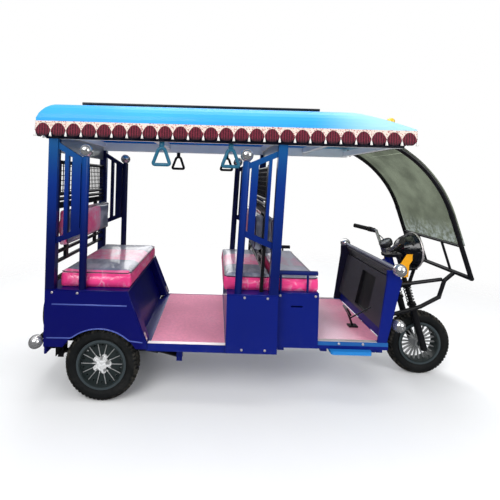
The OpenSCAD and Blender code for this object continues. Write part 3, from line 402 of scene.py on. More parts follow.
# Every finish under its maker
finishPlan = {
    paintFinish: {
        "bodyPaint": dict(colour=navy, layers=[(rearBoxShade, (0.0004, 0.0016, 0.1))]),
        "chassisPaint": dict(colour=navy, layers=[(frontSill, (0.012, 0.1, 0.33)),
                                                  (underRear, (0.006, 0.006, 0.009))]),
        "shieldPaint": dict(colour=navy, layers=[(farFlange, (0.012, 0.012, 0.03)),
                                                 (topRail, (0.16, 0.17, 0.22))]),
        "framePaint": dict(colour=(0.002, 0.024, 0.19), dust=0.0,
                           layers=[(innerSideShade, (0.003, 0.006, 0.05)), (lowPostShade, (0.001, 0.007, 0.095)),
                                   (rearLowShade, (0.0008, 0.002, 0.05)), (topPostHighlight, (0.006, 0.085, 0.24))]),
        "bowlPaint": dict(colour=(0.005, 0.006, 0.009), rough=0.14, coat=0.7, dust=0.0),
        # Painted highlight: the arch and swage beads are paler than the body
        "beadPaint": dict(colour=(0.07, 0.1, 0.36), rough=0.24, dust=0.0),
        "seatRailPaint": dict(colour=(0.004, 0.012, 0.11), dust=0.0,
                              layers=[(leftSideShade, (0.008, 0.008, 0.012))]),
        "roofRailPaint": dict(colour=(0.006, 0.007, 0.02), rough=0.4, coat=0.0, dust=0.0,
                              layers=[(cabinSide, (0.84, 0.86, 0.88))]),
        "tubePaint": dict(colour=(0.008, 0.008, 0.01), rough=0.32, dust=0.05),
        "underPaint": dict(colour=(0.012, 0.011, 0.012), rough=0.5, coat=0.05, dust=0.4),
        "roofSkin": dict(colour=skyBlue, rough=0.4, coat=0.1, dust=0.0, peel=0.02,
                         layers=[(frontSlopeHighlight, (0.46, 0.78, 0.87))]),
        "stepPaint": dict(colour=(0.015, 0.2, 0.55), rough=0.34),
        "springPaint": dict(colour=(0.004, 0.004, 0.005), rough=0.26, dust=0.0),
        "handlePlastic": dict(colour=(0.02, 0.12, 0.2), rough=0.3, dust=0.0,
                              layers=[(leftSideShade, (0.008, 0.008, 0.01))]),
        "amberPaint": dict(colour=(0.9, 0.38, 0.01), rough=0.3, dust=0.0),
    },
    plateFinish: {
        "chrome": {},
        "barChrome": dict(colour=(0.4, 0.39, 0.38), rough=0.16),
        "polishedSheet": dict(colour=(0.5, 0.52, 0.5), rough=0.24, smear=0.25),
        "edgeStrip": dict(colour=(0.8, 0.74, 0.74), rough=0.42),
    },
    rubberFinish: {
        "rubber": {},
        "gripRubber": dict(colour=(0.012, 0.012, 0.012), rough=0.6),
    },
    plasticFinish: {
        "blackPlastic": dict(colour=(0.012, 0.012, 0.014)),
        "linerPlastic": dict(colour=(0.036, 0.034, 0.044), rough=0.4,
                             layers=[(pocketShade, (0.006, 0.006, 0.008))]),
    },
    lampFinish: {
        "amberLamp": dict(colour=(0.95, 0.55, 0.02)),
        "redLamp": dict(colour=(0.5, 0.012, 0.012)),
    },
    clearFinish: {"lampGlass": dict(colour=(0.85, 0.88, 0.9), alpha=0.3, rough=0.06)},
    sheetFinish: {"clearSheet": dict(tint=(0.17, 0.195, 0.145), filmSheen=(0.44, 0.5, 0.5))},
    matFinish: {"floorMat": dict(colour=(0.8, 0.29, 0.41), pale=(0.98, 0.72, 0.79))},
}
finishes = {name: maker(name, **look) for maker, looks in finishPlan.items() for name, look in looks.items()}


# Rims: dark paint, with bright ribs and hub found from the distance to the axle
def rimFinish(name, middle, axis, bright):
    f = Finish(name, **{"Coat Weight": 0.1, "Coat Roughness": 0.12, "Specular IOR Level": 0.25})
    x, y, z = f.axes(f.place(centre=middle))
    across, up = (y, x) if axis == "Y" else (x, y)
    radius = (up * up + z * z) ** 0.5
    shine = bright(f, abs(across), radius, f.math("ARCTAN2", z, up))
    lip = f.step(radius, 0.137, 0.139)
    fine = f.noise(60.0, 4.0)
    dark = f.mix(fine, (0.011, 0.017, 0.017), (0.026, 0.034, 0.035))
    f.colour(f.mix(shine, f.mix(lip, dark, (0.05, 0.064, 0.07)), (0.8, 0.8, 0.8)))
    f.metal(shine * 0.25 + lip * 0.2)
    f.rough(fine * 0.15 + 0.3 - shine * 0.1)
    return f.material


def rearShine(f, across, radius, angle):
    rib = f.step(across, 0.0209, 0.0215) * (radius < 0.128) * 0.36
    holes = f.step(f.math("SINE", angle * 5.0), 0.2, 0.5) * (radius > 0.029) * (radius < 0.051)
    return f.math("MAXIMUM", rib, (radius < 0.0605) * (across > 0.0185) * (1 - holes * 0.85))


def frontShine(f, across, radius, angle):
    return (radius < 0.1285) * (radius > 0.02) * 0.28


def boxMiddle(node):
    low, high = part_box(node)
    return tuple((a + b) / 2 for a, b in zip(low, high))


rimPlan = {
    # rim: (finish, axle, where it is bright)
    "front_rim": ("frontRimPaint", "Y", frontShine),
    "rear_rim_right": ("rightRimPaint", "Y", rearShine),
    "rear_rim_left": ("leftRimPaint", "Y", rearShine),
    "spare_rim": ("spareRimPaint", "X", rearShine),
}
nodeFinish = {
    "bodyPaint": ["floor_deck", "rear_side_panel_right", "rear_side_panel_left", "rear_back_panel",
                  "rear_seat_base", "bench_box", "driver_box", "mid_side_panels"],
    "chassisPaint": ["chassis_frame"],
    "shieldPaint": ["leg_shield"],
    "roofRailPaint": ["roof_frame"],
    "framePaint": ["rear_side_frame_right", "rear_side_frame_left",
                   "mid_side_frame_right", "mid_side_frame_left"],
    "seatRailPaint": ["driver_seat_rails"],
    "tubePaint": ["rear_grille", "mid_grille", "roof_rack", "windscreen_frame", "front_bumper",
                  "brake_pedal", "rear_bumper", "spare_carrier", "front_fork"],
    "bowlPaint": ["headlamp_bowl"],
    "underPaint": ["rear_axle", "drive_motor", "leaf_springs"],
    "barChrome": ["handlebar"],
    "roofSkin": ["roof_canopy"],
    "stepPaint": ["side_steps"],
    "chrome": ["chrome_balls"],
    "springPaint": ["fork_springs"],
    "polishedSheet": ["header_panels"],
    "rubber": ["mud_flaps"],
    "gripRubber": ["handlebar_grips"],
    "blackPlastic": ["battery_pack"],
    "linerPlastic": ["dash_liner"],
    "amberPaint": ["headlamp_bracket"],
    "amberLamp": ["roof_marker_lamp"],
    "redLamp": ["tail_lamps"],
    "clearSheet": ["windscreen"],
    "lampGlass": ["headlamp_lens"],
    "floorMat": ["floor_mats"],
}


def dress(node, material):
    mesh = nodes[node].data
    mesh.materials.clear()
    mesh.materials.append(material)


for finish, names in nodeFinish.items():
    for name in names:
        dress(name, finishes[finish])
for rim, (name, axle, bright) in rimPlan.items():
    dress(rim, rimFinish(name, boxMiddle(rim.replace("rim", "tyre")), axle, bright))
print("stage: frame painted")


def makePiece(name, shape, finish, body, slot, smooth=True, replaces=()):
    verts, faces = shape
    mesh = bpy.data.meshes.new(name)
    mesh.from_pydata([tuple(v) for v in verts], [], [tuple(f) for f in faces])
    mesh.validate()
    return finishPiece(name, mesh, finish, body, slot, smooth, replaces)


def finishPiece(name, mesh, finish, body, slot, smooth=True, replaces=()):
    mesh.name = name
    mesh.materials.clear()
    mesh.materials.append(finishes[finish])
    for face in mesh.polygons:
        face.use_smooth = smooth
    piece = bpy.data.objects.new(name, mesh)
    scene.collection.objects.link(piece)
    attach(piece, body)
    if replaces:
        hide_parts(*replaces)
    return piece


# Faces between rows of points; the last row may join the first, and each row may be a ring
def stitch(rows, count, joined=False, ring=True):
    faces = []
    for i in range(rows if joined else rows - 1):
        j = (i + 1) % rows
        for k in range(count if ring else count - 1):
            m = (k + 1) % count
            faces.append((i * count + k, i * count + m, j * count + m, j * count + k))
    return faces


# Shape turned about an axis: rows of (radius, height) pairs, height along the axis
def turnShape(rows, middle, axis, count, closed=False):
    axis = Vector(axis).normalized()
    side = axis.orthogonal().normalized()
    other = axis.cross(side)
    verts = []
    for i in range(count):
        a = 2 * math.pi * i / count
        out = side * math.cos(a) + other * math.sin(a)
        for radius, height in rows:
            verts.append(Vector(middle) + out * radius + axis * height)
    return verts, [(a, d, c, b) for a, b, c, d in stitch(count, len(rows), True, closed)]


# Round tube along points, capped at its ends or closed into a loop
def tubeShape(points, radius, sides=10, closed=False):
    points = [Vector(p) for p in points]
    count = len(points)
    verts = []
    way = (points[1] - points[0]).normalized()
    side = way.orthogonal().normalized()
    for i, p in enumerate(points):
        a = points[i - 1] if i or closed else p
        b = points[(i + 1) % count] if i + 1 < count or closed else p
        newWay = (b - a).normalized()
        side = (side - newWay * side.dot(newWay)).normalized()
        up = newWay.cross(side)
        for k in range(sides):
            t = 2 * math.pi * k / sides
            verts.append(p + (side * math.cos(t) + up * math.sin(t)) * radius)
    faces = stitch(count, sides, closed)
    if not closed:
        faces.append(tuple(reversed(range(sides))))
        faces.append(tuple((count - 1) * sides + k for k in range(sides)))
    return verts, faces


# Smooth curve through a few points
def smoothPath(points, steps=8):
    points = [Vector(p) for p in points]
    ends = [points[0] * 2 - points[1]] + points + [points[-1] * 2 - points[-2]]
    path = []
    for i in range(1, len(ends) - 2):
        p0, p1, p2, p3 = ends[i - 1:i + 3]
        bend = 2 * p0 - 5 * p1 + 4 * p2 - p3
        twist = 3 * p1 - p0 - 3 * p2 + p3
        for k in range(steps):
            t = k / steps
            path.append(0.5 * ((2 * p1) + (p2 - p0) * t + bend * t * t + twist * t ** 3))
    path.append(points[-1])
    return path


def joinShapes(shapes):
    verts, faces = [], []
    for v, f in shapes:
        base = len(verts)
        verts += v
        faces += [tuple(i + base for i in face) for face in f]
    return verts, faces


# A mesh's skin, for rays to meet
def skinOf(mesh):
    points = [v.co.copy() for v in mesh.vertices]
    return BVHTree.FromPolygons(points, [tuple(p.vertices) for p in mesh.polygons])


def pointsOf(mesh):
    points = np.empty(len(mesh.vertices) * 3)
    mesh.vertices.foreach_get("co", points)
    return points.reshape(-1, 3)


# Node tree that sets one shape at each point, turned by the point's two directions
def makeScatterTree():
    tree = bpy.data.node_groups.new("setAtPoints", "GeometryNodeTree")
    face = tree.interface
    face.new_socket("Geometry", in_out="INPUT", socket_type="NodeSocketGeometry")
    face.new_socket("Shape", in_out="INPUT", socket_type="NodeSocketObject")
    face.new_socket("Size", in_out="INPUT", socket_type="NodeSocketFloat")
    face.new_socket("Geometry", in_out="OUTPUT", socket_type="NodeSocketGeometry")
    add, link = tree.nodes.new, tree.links.new
    turns = []
    for attribute, axis, pivot in (("aim", "Z", "AUTO"), ("lay", "X", "Z")):
        read = add("GeometryNodeInputNamedAttribute")
        read.data_type = "FLOAT_VECTOR"
        read.inputs["Name"].default_value = attribute
        turn = add("FunctionNodeAlignRotationToVector")
        turn.axis, turn.pivot_axis = axis, pivot
        link(read.outputs[0], turn.inputs["Vector"])
        if turns:
            link(turns[-1].outputs[0], turn.inputs["Rotation"])
        turns.append(turn)
    start, end = add("NodeGroupInput"), add("NodeGroupOutput")
    info = add("GeometryNodeObjectInfo")
    setAt = add("GeometryNodeInstanceOnPoints")
    realize = add("GeometryNodeRealizeInstances")
    link(start.outputs["Geometry"], setAt.inputs["Points"])
    link(start.outputs["Shape"], info.inputs["Object"])
    link(info.outputs["Geometry"], setAt.inputs["Instance"])
    link(turns[-1].outputs[0], setAt.inputs["Rotation"])
    link(start.outputs["Size"], setAt.inputs["Scale"])
    link(setAt.outputs[0], realize.inputs[0])
    link(realize.outputs[0], end.inputs[0])
    return tree


scatterTree = makeScatterTree()


# places: (point, aim, lay) for each copy of the shape
def scatter(name, places, shape, finish, body, slot, size=1.0, smooth=False):
    verts, faces = shape
    template = bpy.data.meshes.new(name + "Shape")
    template.from_pydata([tuple(v) for v in verts], [], faces)
    templateObject = bpy.data.objects.new(name + "Shape", template)
    scene.collection.objects.link(templateObject)
    points = bpy.data.meshes.new(name + "Points")
    points.from_pydata([tuple(p[0]) for p in places], [], [])
    for key, column in (("aim", 1), ("lay", 2)):
        attribute = points.attributes.new(key, "FLOAT_VECTOR", "POINT")
        attribute.data.foreach_set("vector", [c for p in places for c in p[column]])
    holder = bpy.data.objects.new(name + "Points", points)
    scene.collection.objects.link(holder)
    modifier = holder.modifiers.new("setAtPoints", "NODES")
    modifier.node_group = scatterTree
    values = {"Shape": templateObject, "Size": size}
    for item in scatterTree.interface.items_tree:
        if item.in_out == "INPUT" and item.name in values:
            modifier[item.identifier] = values[item.name]
    holder.update_tag()
    bpy.context.view_layer.update()
    graph = bpy.context.evaluated_depsgraph_get()
    mesh = bpy.data.meshes.new_from_object(holder.evaluated_get(graph))
    for spare in (holder, templateObject):
        bpy.data.objects.remove(spare)
    return finishPiece(name, mesh, finish, body, slot, smooth)


# Bolt with a washer under its six-sided head, standing up Z, unit radius
def boltShape():
    washer = turnShape([(0.0, 0.0), (1.25, 0.0), (1.25, 0.22), (0.0, 0.22)], (0, 0, 0), (0, 0, 1), 14)
    head = turnShape([(1.0, 0.2), (1.0, 0.78), (0.84, 0.95), (0.0, 0.95)], (0, 0, 0), (0, 0, 1), 6)
    return joinShapes([washer, head])


# Tyres: a smooth carcass with rows of raised blocks, in place of the plain CAD rings
tyreSetup = {
    "radius": 0.225,
    "width": 0.098,
    "segments": 128,
    "blockDepth": 0.0065,
    "around": 54,                # blocks in one row
    "rowMiddle": 0.0109,         # of the two inner rows, from the tyre's middle
    "rowLift": 0.0002,
}


def tyreRows(setup):
    r, w, d = setup["radius"], setup["width"], setup["blockDepth"]
    bead = 0.1363
    half = [
        (bead, 0.0), (bead, 0.36 * w), (0.155, 0.362 * w), (0.1575, 0.385 * w), (0.163, 0.44 * w),
        (0.170, 0.475 * w), (0.1715, 0.486 * w), (0.174, 0.486 * w), (0.1755, 0.49 * w),
        (0.187, 0.497 * w), (0.197, 0.487 * w), (r - 0.0215 - d * 0.5, 0.455 * w),
        (r - 0.0135 - d * 0.7, 0.4 * w), (r - 0.008 - d * 0.9, 0.32 * w), (r - 0.003 - d, 0.2 * w),
        (r - d, 0.08 * w),
    ]
    return half + [(a, -b) for a, b in reversed(half[1:])]


def centreBlock(depth):
    length, width, skew = 0.0195, 0.0172, 0.005
    verts = []
    for z, k in ((-0.003, 1.0), (depth - 0.0012, 0.97), (depth, 0.86)):
        for x, y in ((-0.5, -0.5), (0.5, -0.5), (0.5, 0.5), (-0.5, 0.5)):
            verts.append((x * length * k + y * skew * 2, y * width * k, z))
    return verts, [(8, 9, 10, 11)] + stitch(3, 4)


# Lug that runs over the shoulder; Y points outwards from the tyre's middle, Z away from the axle
def shoulderLug(setup):
    drop = setup["blockDepth"]
    outer = [(0.0228, -0.0026), (0.0312, -0.0062), (0.0384, -0.0122), (0.0440, -0.0205), (0.0477, -0.0300)]
    inner = [(0.0217, -0.0030 - drop), (0.0290, -0.0072 - drop), (0.0354, -0.0132 - drop),
             (0.0403, -0.0220 - drop), (0.0451, -0.0345)]
    verts, faces = [], []
    n = len(outer)
    for half in (-1, 1):
        for k, (y, z) in enumerate(outer):
            verts.append((half * (0.0078 - 0.0006 * k) + y * 0.12, y, z + drop))
        for k, (y, z) in enumerate(inner):
            verts.append((half * (0.0092 - 0.0006 * k) + y * 0.12, y, z + drop))
    a, b = 0, 2 * n
    for k in range(n - 1):
        faces.append((a + k, b + k, b + k + 1, a + k + 1))
        faces.append((a + k, a + k + 1, a + n + k + 1, a + n + k))
        faces.append((b + k, b + n + k, b + n + k + 1, b + k + 1))
    faces.append((a, a + n, b + n, b))
    faces.append((a + n - 1, b + n - 1, b + 2 * n - 1, a + 2 * n - 1))
    return verts, faces


def makeTyre(name, node, body, axis):
    setup = tyreSetup
    middle = Vector(boxMiddle(node))
    axis = Vector(axis)
    rubber = name + "Rubber"
    finishes[rubber] = rubberFinish(rubber, middle=tuple(middle), axis="Y" if abs(axis.y) > 0.5 else "X")
    carcass = turnShape(tyreRows(setup), middle, axis, setup["segments"], closed=True)
    tyre = makePiece(name, carcass, rubber, body, "tyre_rubber", replaces=(node,))
    fixNormals(tyre.data)
    side = axis.orthogonal().normalized()
    other = axis.cross(side)
    base = setup["radius"] - setup["blockDepth"]
    rows = {"Tread": [], "Lugs": []}
    for i in range(setup["around"]):
        for row, shift in ((-1, 0.0), (1, 0.5)):
            a = 2 * math.pi * (i + shift) / setup["around"]
            out = side * math.cos(a) + other * math.sin(a)
            lay = axis.cross(out) * row          # keeps each row's outer side along +Y
            inner = middle + out * (base + setup["rowLift"]) + axis * row * setup["rowMiddle"]
            rows["Tread"].append((inner, out, lay))
            rows["Lugs"].append((middle + out * base, out, lay))
    scatter(name + "Tread", rows["Tread"], centreBlock(setup["blockDepth"]), rubber, body, "tyre_rubber")
    scatter(name + "Lugs", rows["Lugs"], shoulderLug(setup), rubber, body, "tyre_rubber")


def fixNormals(mesh):
    bm = bmesh.new()
    bm.from_mesh(mesh)
    bmesh.ops.remove_doubles(bm, verts=bm.verts, dist=1e-6)
    bmesh.ops.recalc_face_normals(bm, faces=bm.faces)
    bm.to_mesh(mesh)
    bm.free()


for name, node, body, axis in (("rightTyre", "rear_tyre_right", "rear_wheel_right", (0, 1, 0)),
                               ("leftTyre", "rear_tyre_left", "rear_wheel_left", (0, 1, 0)),
                               ("frontTyre", "front_tyre", "front_wheel", (0, 1, 0)),
                               ("spareTyre", "spare_tyre", "chassis", (1, 0, 0))):
    makeTyre(name, node, body, axis)
print("stage: tyres")


# Vinyl over foam: two slate bands on the sitting side, soft folds, and the gloss of a thin clear film; pale
# streaks on the creases are painted glints, and a milky pale wash over the top, stronger in a patch at the
# front, is painted glare on the film
def vinylFinish(name, colour, bands=None, filmSheen=0.6):
    f = Finish(name, **{"Coat Roughness": 0.09, "Sheen Weight": 0.05})
    x, y, z = f.axes()
    broad = f.noise(4.5, 4.0, 0.6)
    fold = f.noise(13.0, 3.0, 0.5, where=f.place(scale=(1.0, 0.4, 0.8), turn=(0.0, 0.5, 0.4)))
    crease = f.step(abs(f.noise(7.0, 2.0, where=f.place(turn=(0.4, 0.7, 0.2))) - 0.5), 0.03, 0.0)
    pulled = f.place(scale=(1.0, 1.0, 0.6), turn=(0.5, 0.8, 0.3))
    streak = f.step(abs(f.noise(15.0, 2.0, where=pulled) - 0.5), 0.05, 0.0)
    shade = f.tone(f.step(broad, 0.3, 0.75), colour, 0.84, 1.18)
    if bands:
        # Painted glints: pale streaks along the creases
        shade = f.mix(f.clamp(crease + streak) * f.step(broad, 0.4, 0.6) * 0.4, shade, bands["filmSheen"])
        side = f.step(abs(y), 0.150, 0.153) * (abs(y) < 0.372) * (z > bands["above"])
        shade = f.mix(side, shade, f.tone(broad, bands["colour"], 0.8, 1.2))
        # Painted glare: a stronger pale patch at the front, on the tops below the bands
        thick = f.step(x, atX(40), atX(180)) * (z < bands["below"]) * 0.6
        filmGlare = (f.step(fold, 0.42, 0.66) * 0.4 + 0.08 + thick) * (z > bands["above"])
        shade = f.mix(filmGlare, shade, bands["filmSheen"])
    f.colour(shade)
    f.rough(broad * 0.2 + 0.26)
    f.link(f.clamp(fold * 0.7 + (filmSheen - 0.35)), "Coat Weight")
    grain = f.cells(420.0) * 0.1 + f.noise(55.0, 3.0) * 0.35
    return f.bump(fold * 1.6 + crease * 0.35 + streak * 0.4 + grain, 0.32, 0.004).material


seatBands = {
    "above": atZ(738),
    "below": atZ(800),
    "colour": (0.1, 0.11, 0.17),
    # Colour of the painted glints and glare on the film
    "filmSheen": (0.66, 0.66, 0.74),
}
finishes["seatVinyl"] = vinylFinish("seatVinyl", pink, bands=seatBands)
finishes["piping"] = vinylFinish("piping", (0.05, 0.012, 0.04), filmSheen=0.3)


# Fine closed mesh of a box with rounded edges
def cushionBlank(setup, size):
    bm = bmesh.new()
    bmesh.ops.create_cube(bm, size=1.0)
    for v in bm.verts:
        v.co = Vector(v.co[i] * size[i] for i in range(3))
    bmesh.ops.bevel(bm, geom=bm.edges[:], offset=setup["edge"], segments=4, profile=0.5, affect="EDGES")
    mesh = bpy.data.meshes.new(setup["name"])
    bm.to_mesh(mesh)
    bm.free()
    work = bpy.data.objects.new(setup["name"] + "Work", mesh)
    scene.collection.objects.link(work)
    remesh = work.modifiers.new("remesh", "REMESH")
    remesh.mode = "VOXEL"
    remesh.voxel_size = setup["voxel"]
    bpy.context.view_layer.update()
    fine = bpy.data.meshes.new_from_object(work.evaluated_get(bpy.context.evaluated_depsgraph_get()))
    bpy.data.objects.remove(work)
    return fine


def blowUp(mesh, setup):
    blown = bpy.data.objects.new("blown", mesh.copy())
    scene.collection.objects.link(blown)
    pins = blown.vertex_groups.new(name="held")
    thin, side = setup["thin"], setup["side"]
    edge = max(-side * v.co[thin] for v in blown.data.vertices)
    pins.add([v.index for v in blown.data.vertices if -side * v.co[thin] > edge - 0.004], 1.0, "REPLACE")
    cloth = blown.modifiers.new("cloth", "CLOTH")
    cloth.settings.vertex_group_mass = "held"
    cloth.settings.use_pressure = True
    cloth.settings.uniform_pressure_force = setup["pressure"]
    cloth.settings.effector_weights.gravity = 0.0
    cloth.settings.quality = 4
    cloth.collision_settings.use_collision = False
    for step in range(1, setup["steps"] + 1):
        scene.frame_set(step)
    end = pointsOf(blown.evaluated_get(bpy.context.evaluated_depsgraph_get()).to_mesh())
    bpy.data.objects.remove(blown)
    scene.frame_set(1)
    return end


# Foam cushion: a soft box, blown up a little as cloth, held flat where it is fixed
def makeCushion(setup):
    low, high = Vector(setup["low"]), Vector(setup["high"])
    inset, thin, side = setup["inset"], setup["thin"], setup["side"]
    size = high - low - Vector((2 * inset,) * 3)
    middle = (low + high) / 2
    fine = cushionBlank(setup, size)
    start = pointsOf(fine)
    move = blowUp(fine, setup) - start
    reach = np.linalg.norm(move, axis=1)
    move *= np.minimum(1.0, setup["cap"] / np.maximum(reach, 1e-9))[:, None]
    shape = start + move
    # A light crown and the pull between the corners
    u = shape / (np.array(size) / 2)
    wide = [i for i in range(3) if i != thin]
    crown = np.clip(1 - u[:, wide[0]] ** 4, 0, 1) * np.clip(1 - u[:, wide[1]] ** 4, 0, 1)
    shape[:, thin] += side * setup["crown"] * crown * np.clip(u[:, thin] * side, 0, 1)
    # Cloth may not pass the CAD solid's box by more than a little
    limit = np.array(size) / 2 + inset + np.array(setup["spare"])
    shape = np.clip(shape, -limit, limit)
    held = side * shape[:, thin] < -(size[thin] / 2 - 0.002)
    shape[held, thin] = -side * (size[thin] / 2 + inset)
    if "turn" in setup:
        pivot = Vector(setup["pivot"])
        spin = Matrix.Rotation(setup["turn"], 3, "Y")
        shape = (np.array(middle - pivot) + shape) @ np.array(spin).T + np.array(pivot)
    else:
        shape = shape + np.array(middle)
    fine.vertices.foreach_set("co", shape.ravel())
    fine.update()
    piece = finishPiece(setup["name"], fine, "seatVinyl", "chassis", "seat_vinyl")
    soften = piece.modifiers.new("smooth", "SUBSURF")
    soften.levels = soften.render_levels = 1
    return piece


cushionSetup = {
    "inset": 0.004,                     # the foam starts this far inside the CAD solid
    "edge": 0.012,
    "voxel": 0.007,
    "pressure": 3.0,
    "steps": 16,
    "cap": 0.007,                       # the most that the cloth may move
    "crown": 0.008,
    "spare": (0.004, 0.004, 0.012),
    "fill": 0.75,
    "thin": 2,                          # the axis across the foam, and its free side
    "side": 1,
}
backSetup = {**cushionSetup, "thin": 0, "spare": (0.012, 0.004, 0.004)}
leanSetup = {**backSetup, "turn": math.radians(2.3), "pivot": at(0, 0, 655)}
cushionPlan = {
    # name: (node, setup, corners when they aren't the node's own)
    "rearSeat": ("rear_seat_cushion", cushionSetup, None),
    "benchSeat": ("bench_cushion", cushionSetup, None),
    "driverSeat": ("driver_cushion", cushionSetup, None),
    "rearBack": ("rear_back_cushion", backSetup, None),
    "benchBack": ("mid_back_cushions", {**leanSetup, "side": -1}, (at(-44, -372, 900), at(11, 372, 1130))),
    "driverBack": ("mid_back_cushions", leanSetup, (at(31, -372, 880), at(76, 372, 1120))),
}
pipingSetup = {
    "radius": 0.0036,
    "sides": 8,
    "bend": 0.03,
    "bendSteps": 5,
    "spacing": 0.04,
    "raysFrom": (0.06, 0.05),           # outwards and above
}


# Piping sewn along the edge of a cushion's free side, laid on its skin by rays from outside
def makePiping(name, piece, thin, side):
    mesh = piece.data
    skin = skinOf(mesh)
    low = Vector(min(v.co[i] for v in mesh.vertices) for i in range(3))
    high = Vector(max(v.co[i] for v in mesh.vertices) for i in range(3))
    a, b = [i for i in range(3) if i != thin]
    bend, steps = pipingSetup["bend"], pipingSetup["bendSteps"]
    ring = []
    for turn, (ca, cb) in enumerate(((high[a] - bend, high[b] - bend), (low[a] + bend, high[b] - bend),
                                     (low[a] + bend, low[b] + bend), (high[a] - bend, low[b] + bend))):
        for k in range(steps + 1):
            t = math.pi / 2 * (turn + k / steps)
            ring.append((ca + bend * math.cos(t), cb + bend * math.sin(t), math.cos(t), math.sin(t)))
    out, above = pipingSetup["raysFrom"]
    path = []
    for i, (pa, pb, na, nb) in enumerate(ring):
        qa, qb = ring[(i + 1) % len(ring)][:2]
        count = max(1, round(math.hypot(qa - pa, qb - pb) / pipingSetup["spacing"]))
        for k in range(count):
            start, way = Vector((0, 0, 0)), Vector((0, 0, 0))
            u = k / count
            start[a], start[b] = pa + (qa - pa) * u + na * out, pb + (qb - pb) * u + nb * out
            start[thin] = (high[thin] if side > 0 else low[thin]) + side * above
            way[a], way[b], way[thin] = -na, -nb, -side
            hit = skin.ray_cast(start, way.normalized())[0]
            if hit:
                path.append(hit)
    tube = tubeShape(path, pipingSetup["radius"], pipingSetup["sides"], closed=True)
    makePiece(name, tube, "piping", "chassis", "seat_vinyl")


for name, (node, setup, corners) in cushionPlan.items():
    low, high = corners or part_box(node)
    cushion = makeCushion({**setup, "name": name, "low": low, "high": high})
    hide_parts(node)
    makePiping(name + "Piping", cushion, setup["thin"], setup["side"])
print("stage: cushions")


# Fringe cloth: dark red scallops under a pale woven band that runs down between them; the light and dark
# stripes along the folds are painted fold shade, and the darkening to near-black at each scallop's lower
# edge is a painted shadow
def fringeFinish():
    f = Finish("fringeCloth", **{"Specular IOR Level": 0.2, "Sheen Weight": 0.2})
    uv = f.add("ShaderNodeTexCoord", out="UV")
    u, v, w = f.axes(uv)
    half = abs(f.math("FRACT", u) * 2.0 - 1.0)
    edge = half ** 2.4 * 0.5 + 0.13
    band = f.step(v, edge + 0.02, edge - 0.02)
    weave = f.cells(1.0, where=f.add("ShaderNodeMapping", {}, {"Vector": uv, "Scale": (9.0, 12.0, 1.0)}))
    pale = f.mix(f.step(weave, 0.3, 0.42), (0.42, 0.1, 0.1), (0.78, 0.66, 0.58))
    fold = f.math("SINE", u * (6.28 * 6))
    speck = f.step(weave, 0.5, 0.25) * 0.35
    # Painted shade: lighter and darker stripes follow the folds
    red = f.mix(fold * 0.4 + speck + 0.35, (0.035, 0.003, 0.009), (0.2, 0.014, 0.036))
    # Painted shadow: each scallop darkens to near-black at its lower edge
    red = f.mix(f.step(v, 0.72, 1.0) * 0.8, red, (0.006, 0.003, 0.008))
    f.colour(f.mix(band, red, pale))
    f.rough(weave * 0.2 + 0.6)
    return f.bump(fold * 0.6 + weave * 0.5, 0.5, 0.002).material


finishes["fringeCloth"] = fringeFinish()
finishes["thread"] = plasticFinish("thread", (0.86, 0.84, 0.8), rough=0.7)
fringeSetup = {
    "top": 1660,
    "tip": 1572,
    "cusp": 1600,
    "frontLift": 12,
    "pitch": 92,
    "columns": 12,
    "rows": 9,
    "wave": 2.4,
    # name: (start, end, outward way), drawn at the CAD fringe's middle
    "runs": {
        "fringeRight": ((-1350, -481.8), (905, -481.8), (0, -1)),
        "fringeLeft": ((905, 481.8), (-1350, 481.8), (0, 1)),
        "fringeRear": ((-1351.8, 480), (-1351.8, -480), (-1, 0)),
        "fringeFront": ((906.8, -480), (906.8, 480), (1, 0)),
    },
    "tassel": [(0.0, 0.0), (0.0012, -0.001), (0.0013, -0.008), (0.0036, -0.012), (0.0062, -0.022),
               (0.0082, -0.034), (0.0, -0.035)],
}


def makeFringe(setup, name, start, end, out):
    start, end, out = Vector((*start, 0)), Vector((*end, 0)), Vector((*out, 0))
    length = (end - start).length
    count = round(length / setup["pitch"])
    columns, rows = setup["columns"] * count, setup["rows"]
    lift = setup["frontLift"] if name == "fringeFront" else 0
    top, tip, cusp = setup["top"], setup["tip"], setup["cusp"]
    verts, uvs, area = [], [], 0.0
    for i in range(columns + 1):
        u = i / setup["columns"]
        part = u - math.floor(u)
        near = min(part, 1 - part)
        foot = cusp + lift - (cusp - tip) * min(1.0, near * 3.6) ** 0.8
        sway = 0.6 + 0.8 * math.sin(6.283 * u * 2.5 + 0.7 * math.sin(u * 2.1))
        for k in range(rows + 1):
            v = k / rows
            ripple = setup["wave"] * v * v * sway
            place = start + (end - start) * (i / columns) + out * (0.6 + max(0.0, ripple))
            place.z = top + (foot - top) * v
            verts.append(at(*place))
            uvs.append((u, v * (top - foot) / (top - tip)))
        area += (top - foot) * (0.5 if i in (0, columns) else 1.0) * length / columns / 1e6
    shape = verts, stitch(columns + 1, rows + 1, ring=False)
    cloth = makePiece(name, shape, "fringeCloth", "chassis", "fringe_cloth", replaces=("roof_fringe",))
    layer = cloth.data.uv_layers.new(name="cloth")
    for loop in cloth.data.loops:
        layer.data[loop.index].uv = uvs[loop.vertex_index]
    places = []
    for i in range(count + 1):
        place = start + (end - start) * (i / count) + out * 2.2
        places.append((at(place.x, place.y, cusp + lift + 4), (0, 0, 1), out))
    drop = turnShape(setup["tassel"], (0, 0, 0), (0, 0, 1), 8)
    tassels = scatter(name + "Tassels", places, drop, "thread", "chassis", "fringe_cloth", smooth=True)
    (top - tip - lift) / 1000


for name, (start, end, out) in fringeSetup["runs"].items():
    makeFringe(fringeSetup, name, start, end, out)
print("stage: fringe")


bothSides = {"Right": -1, "Left": 1}
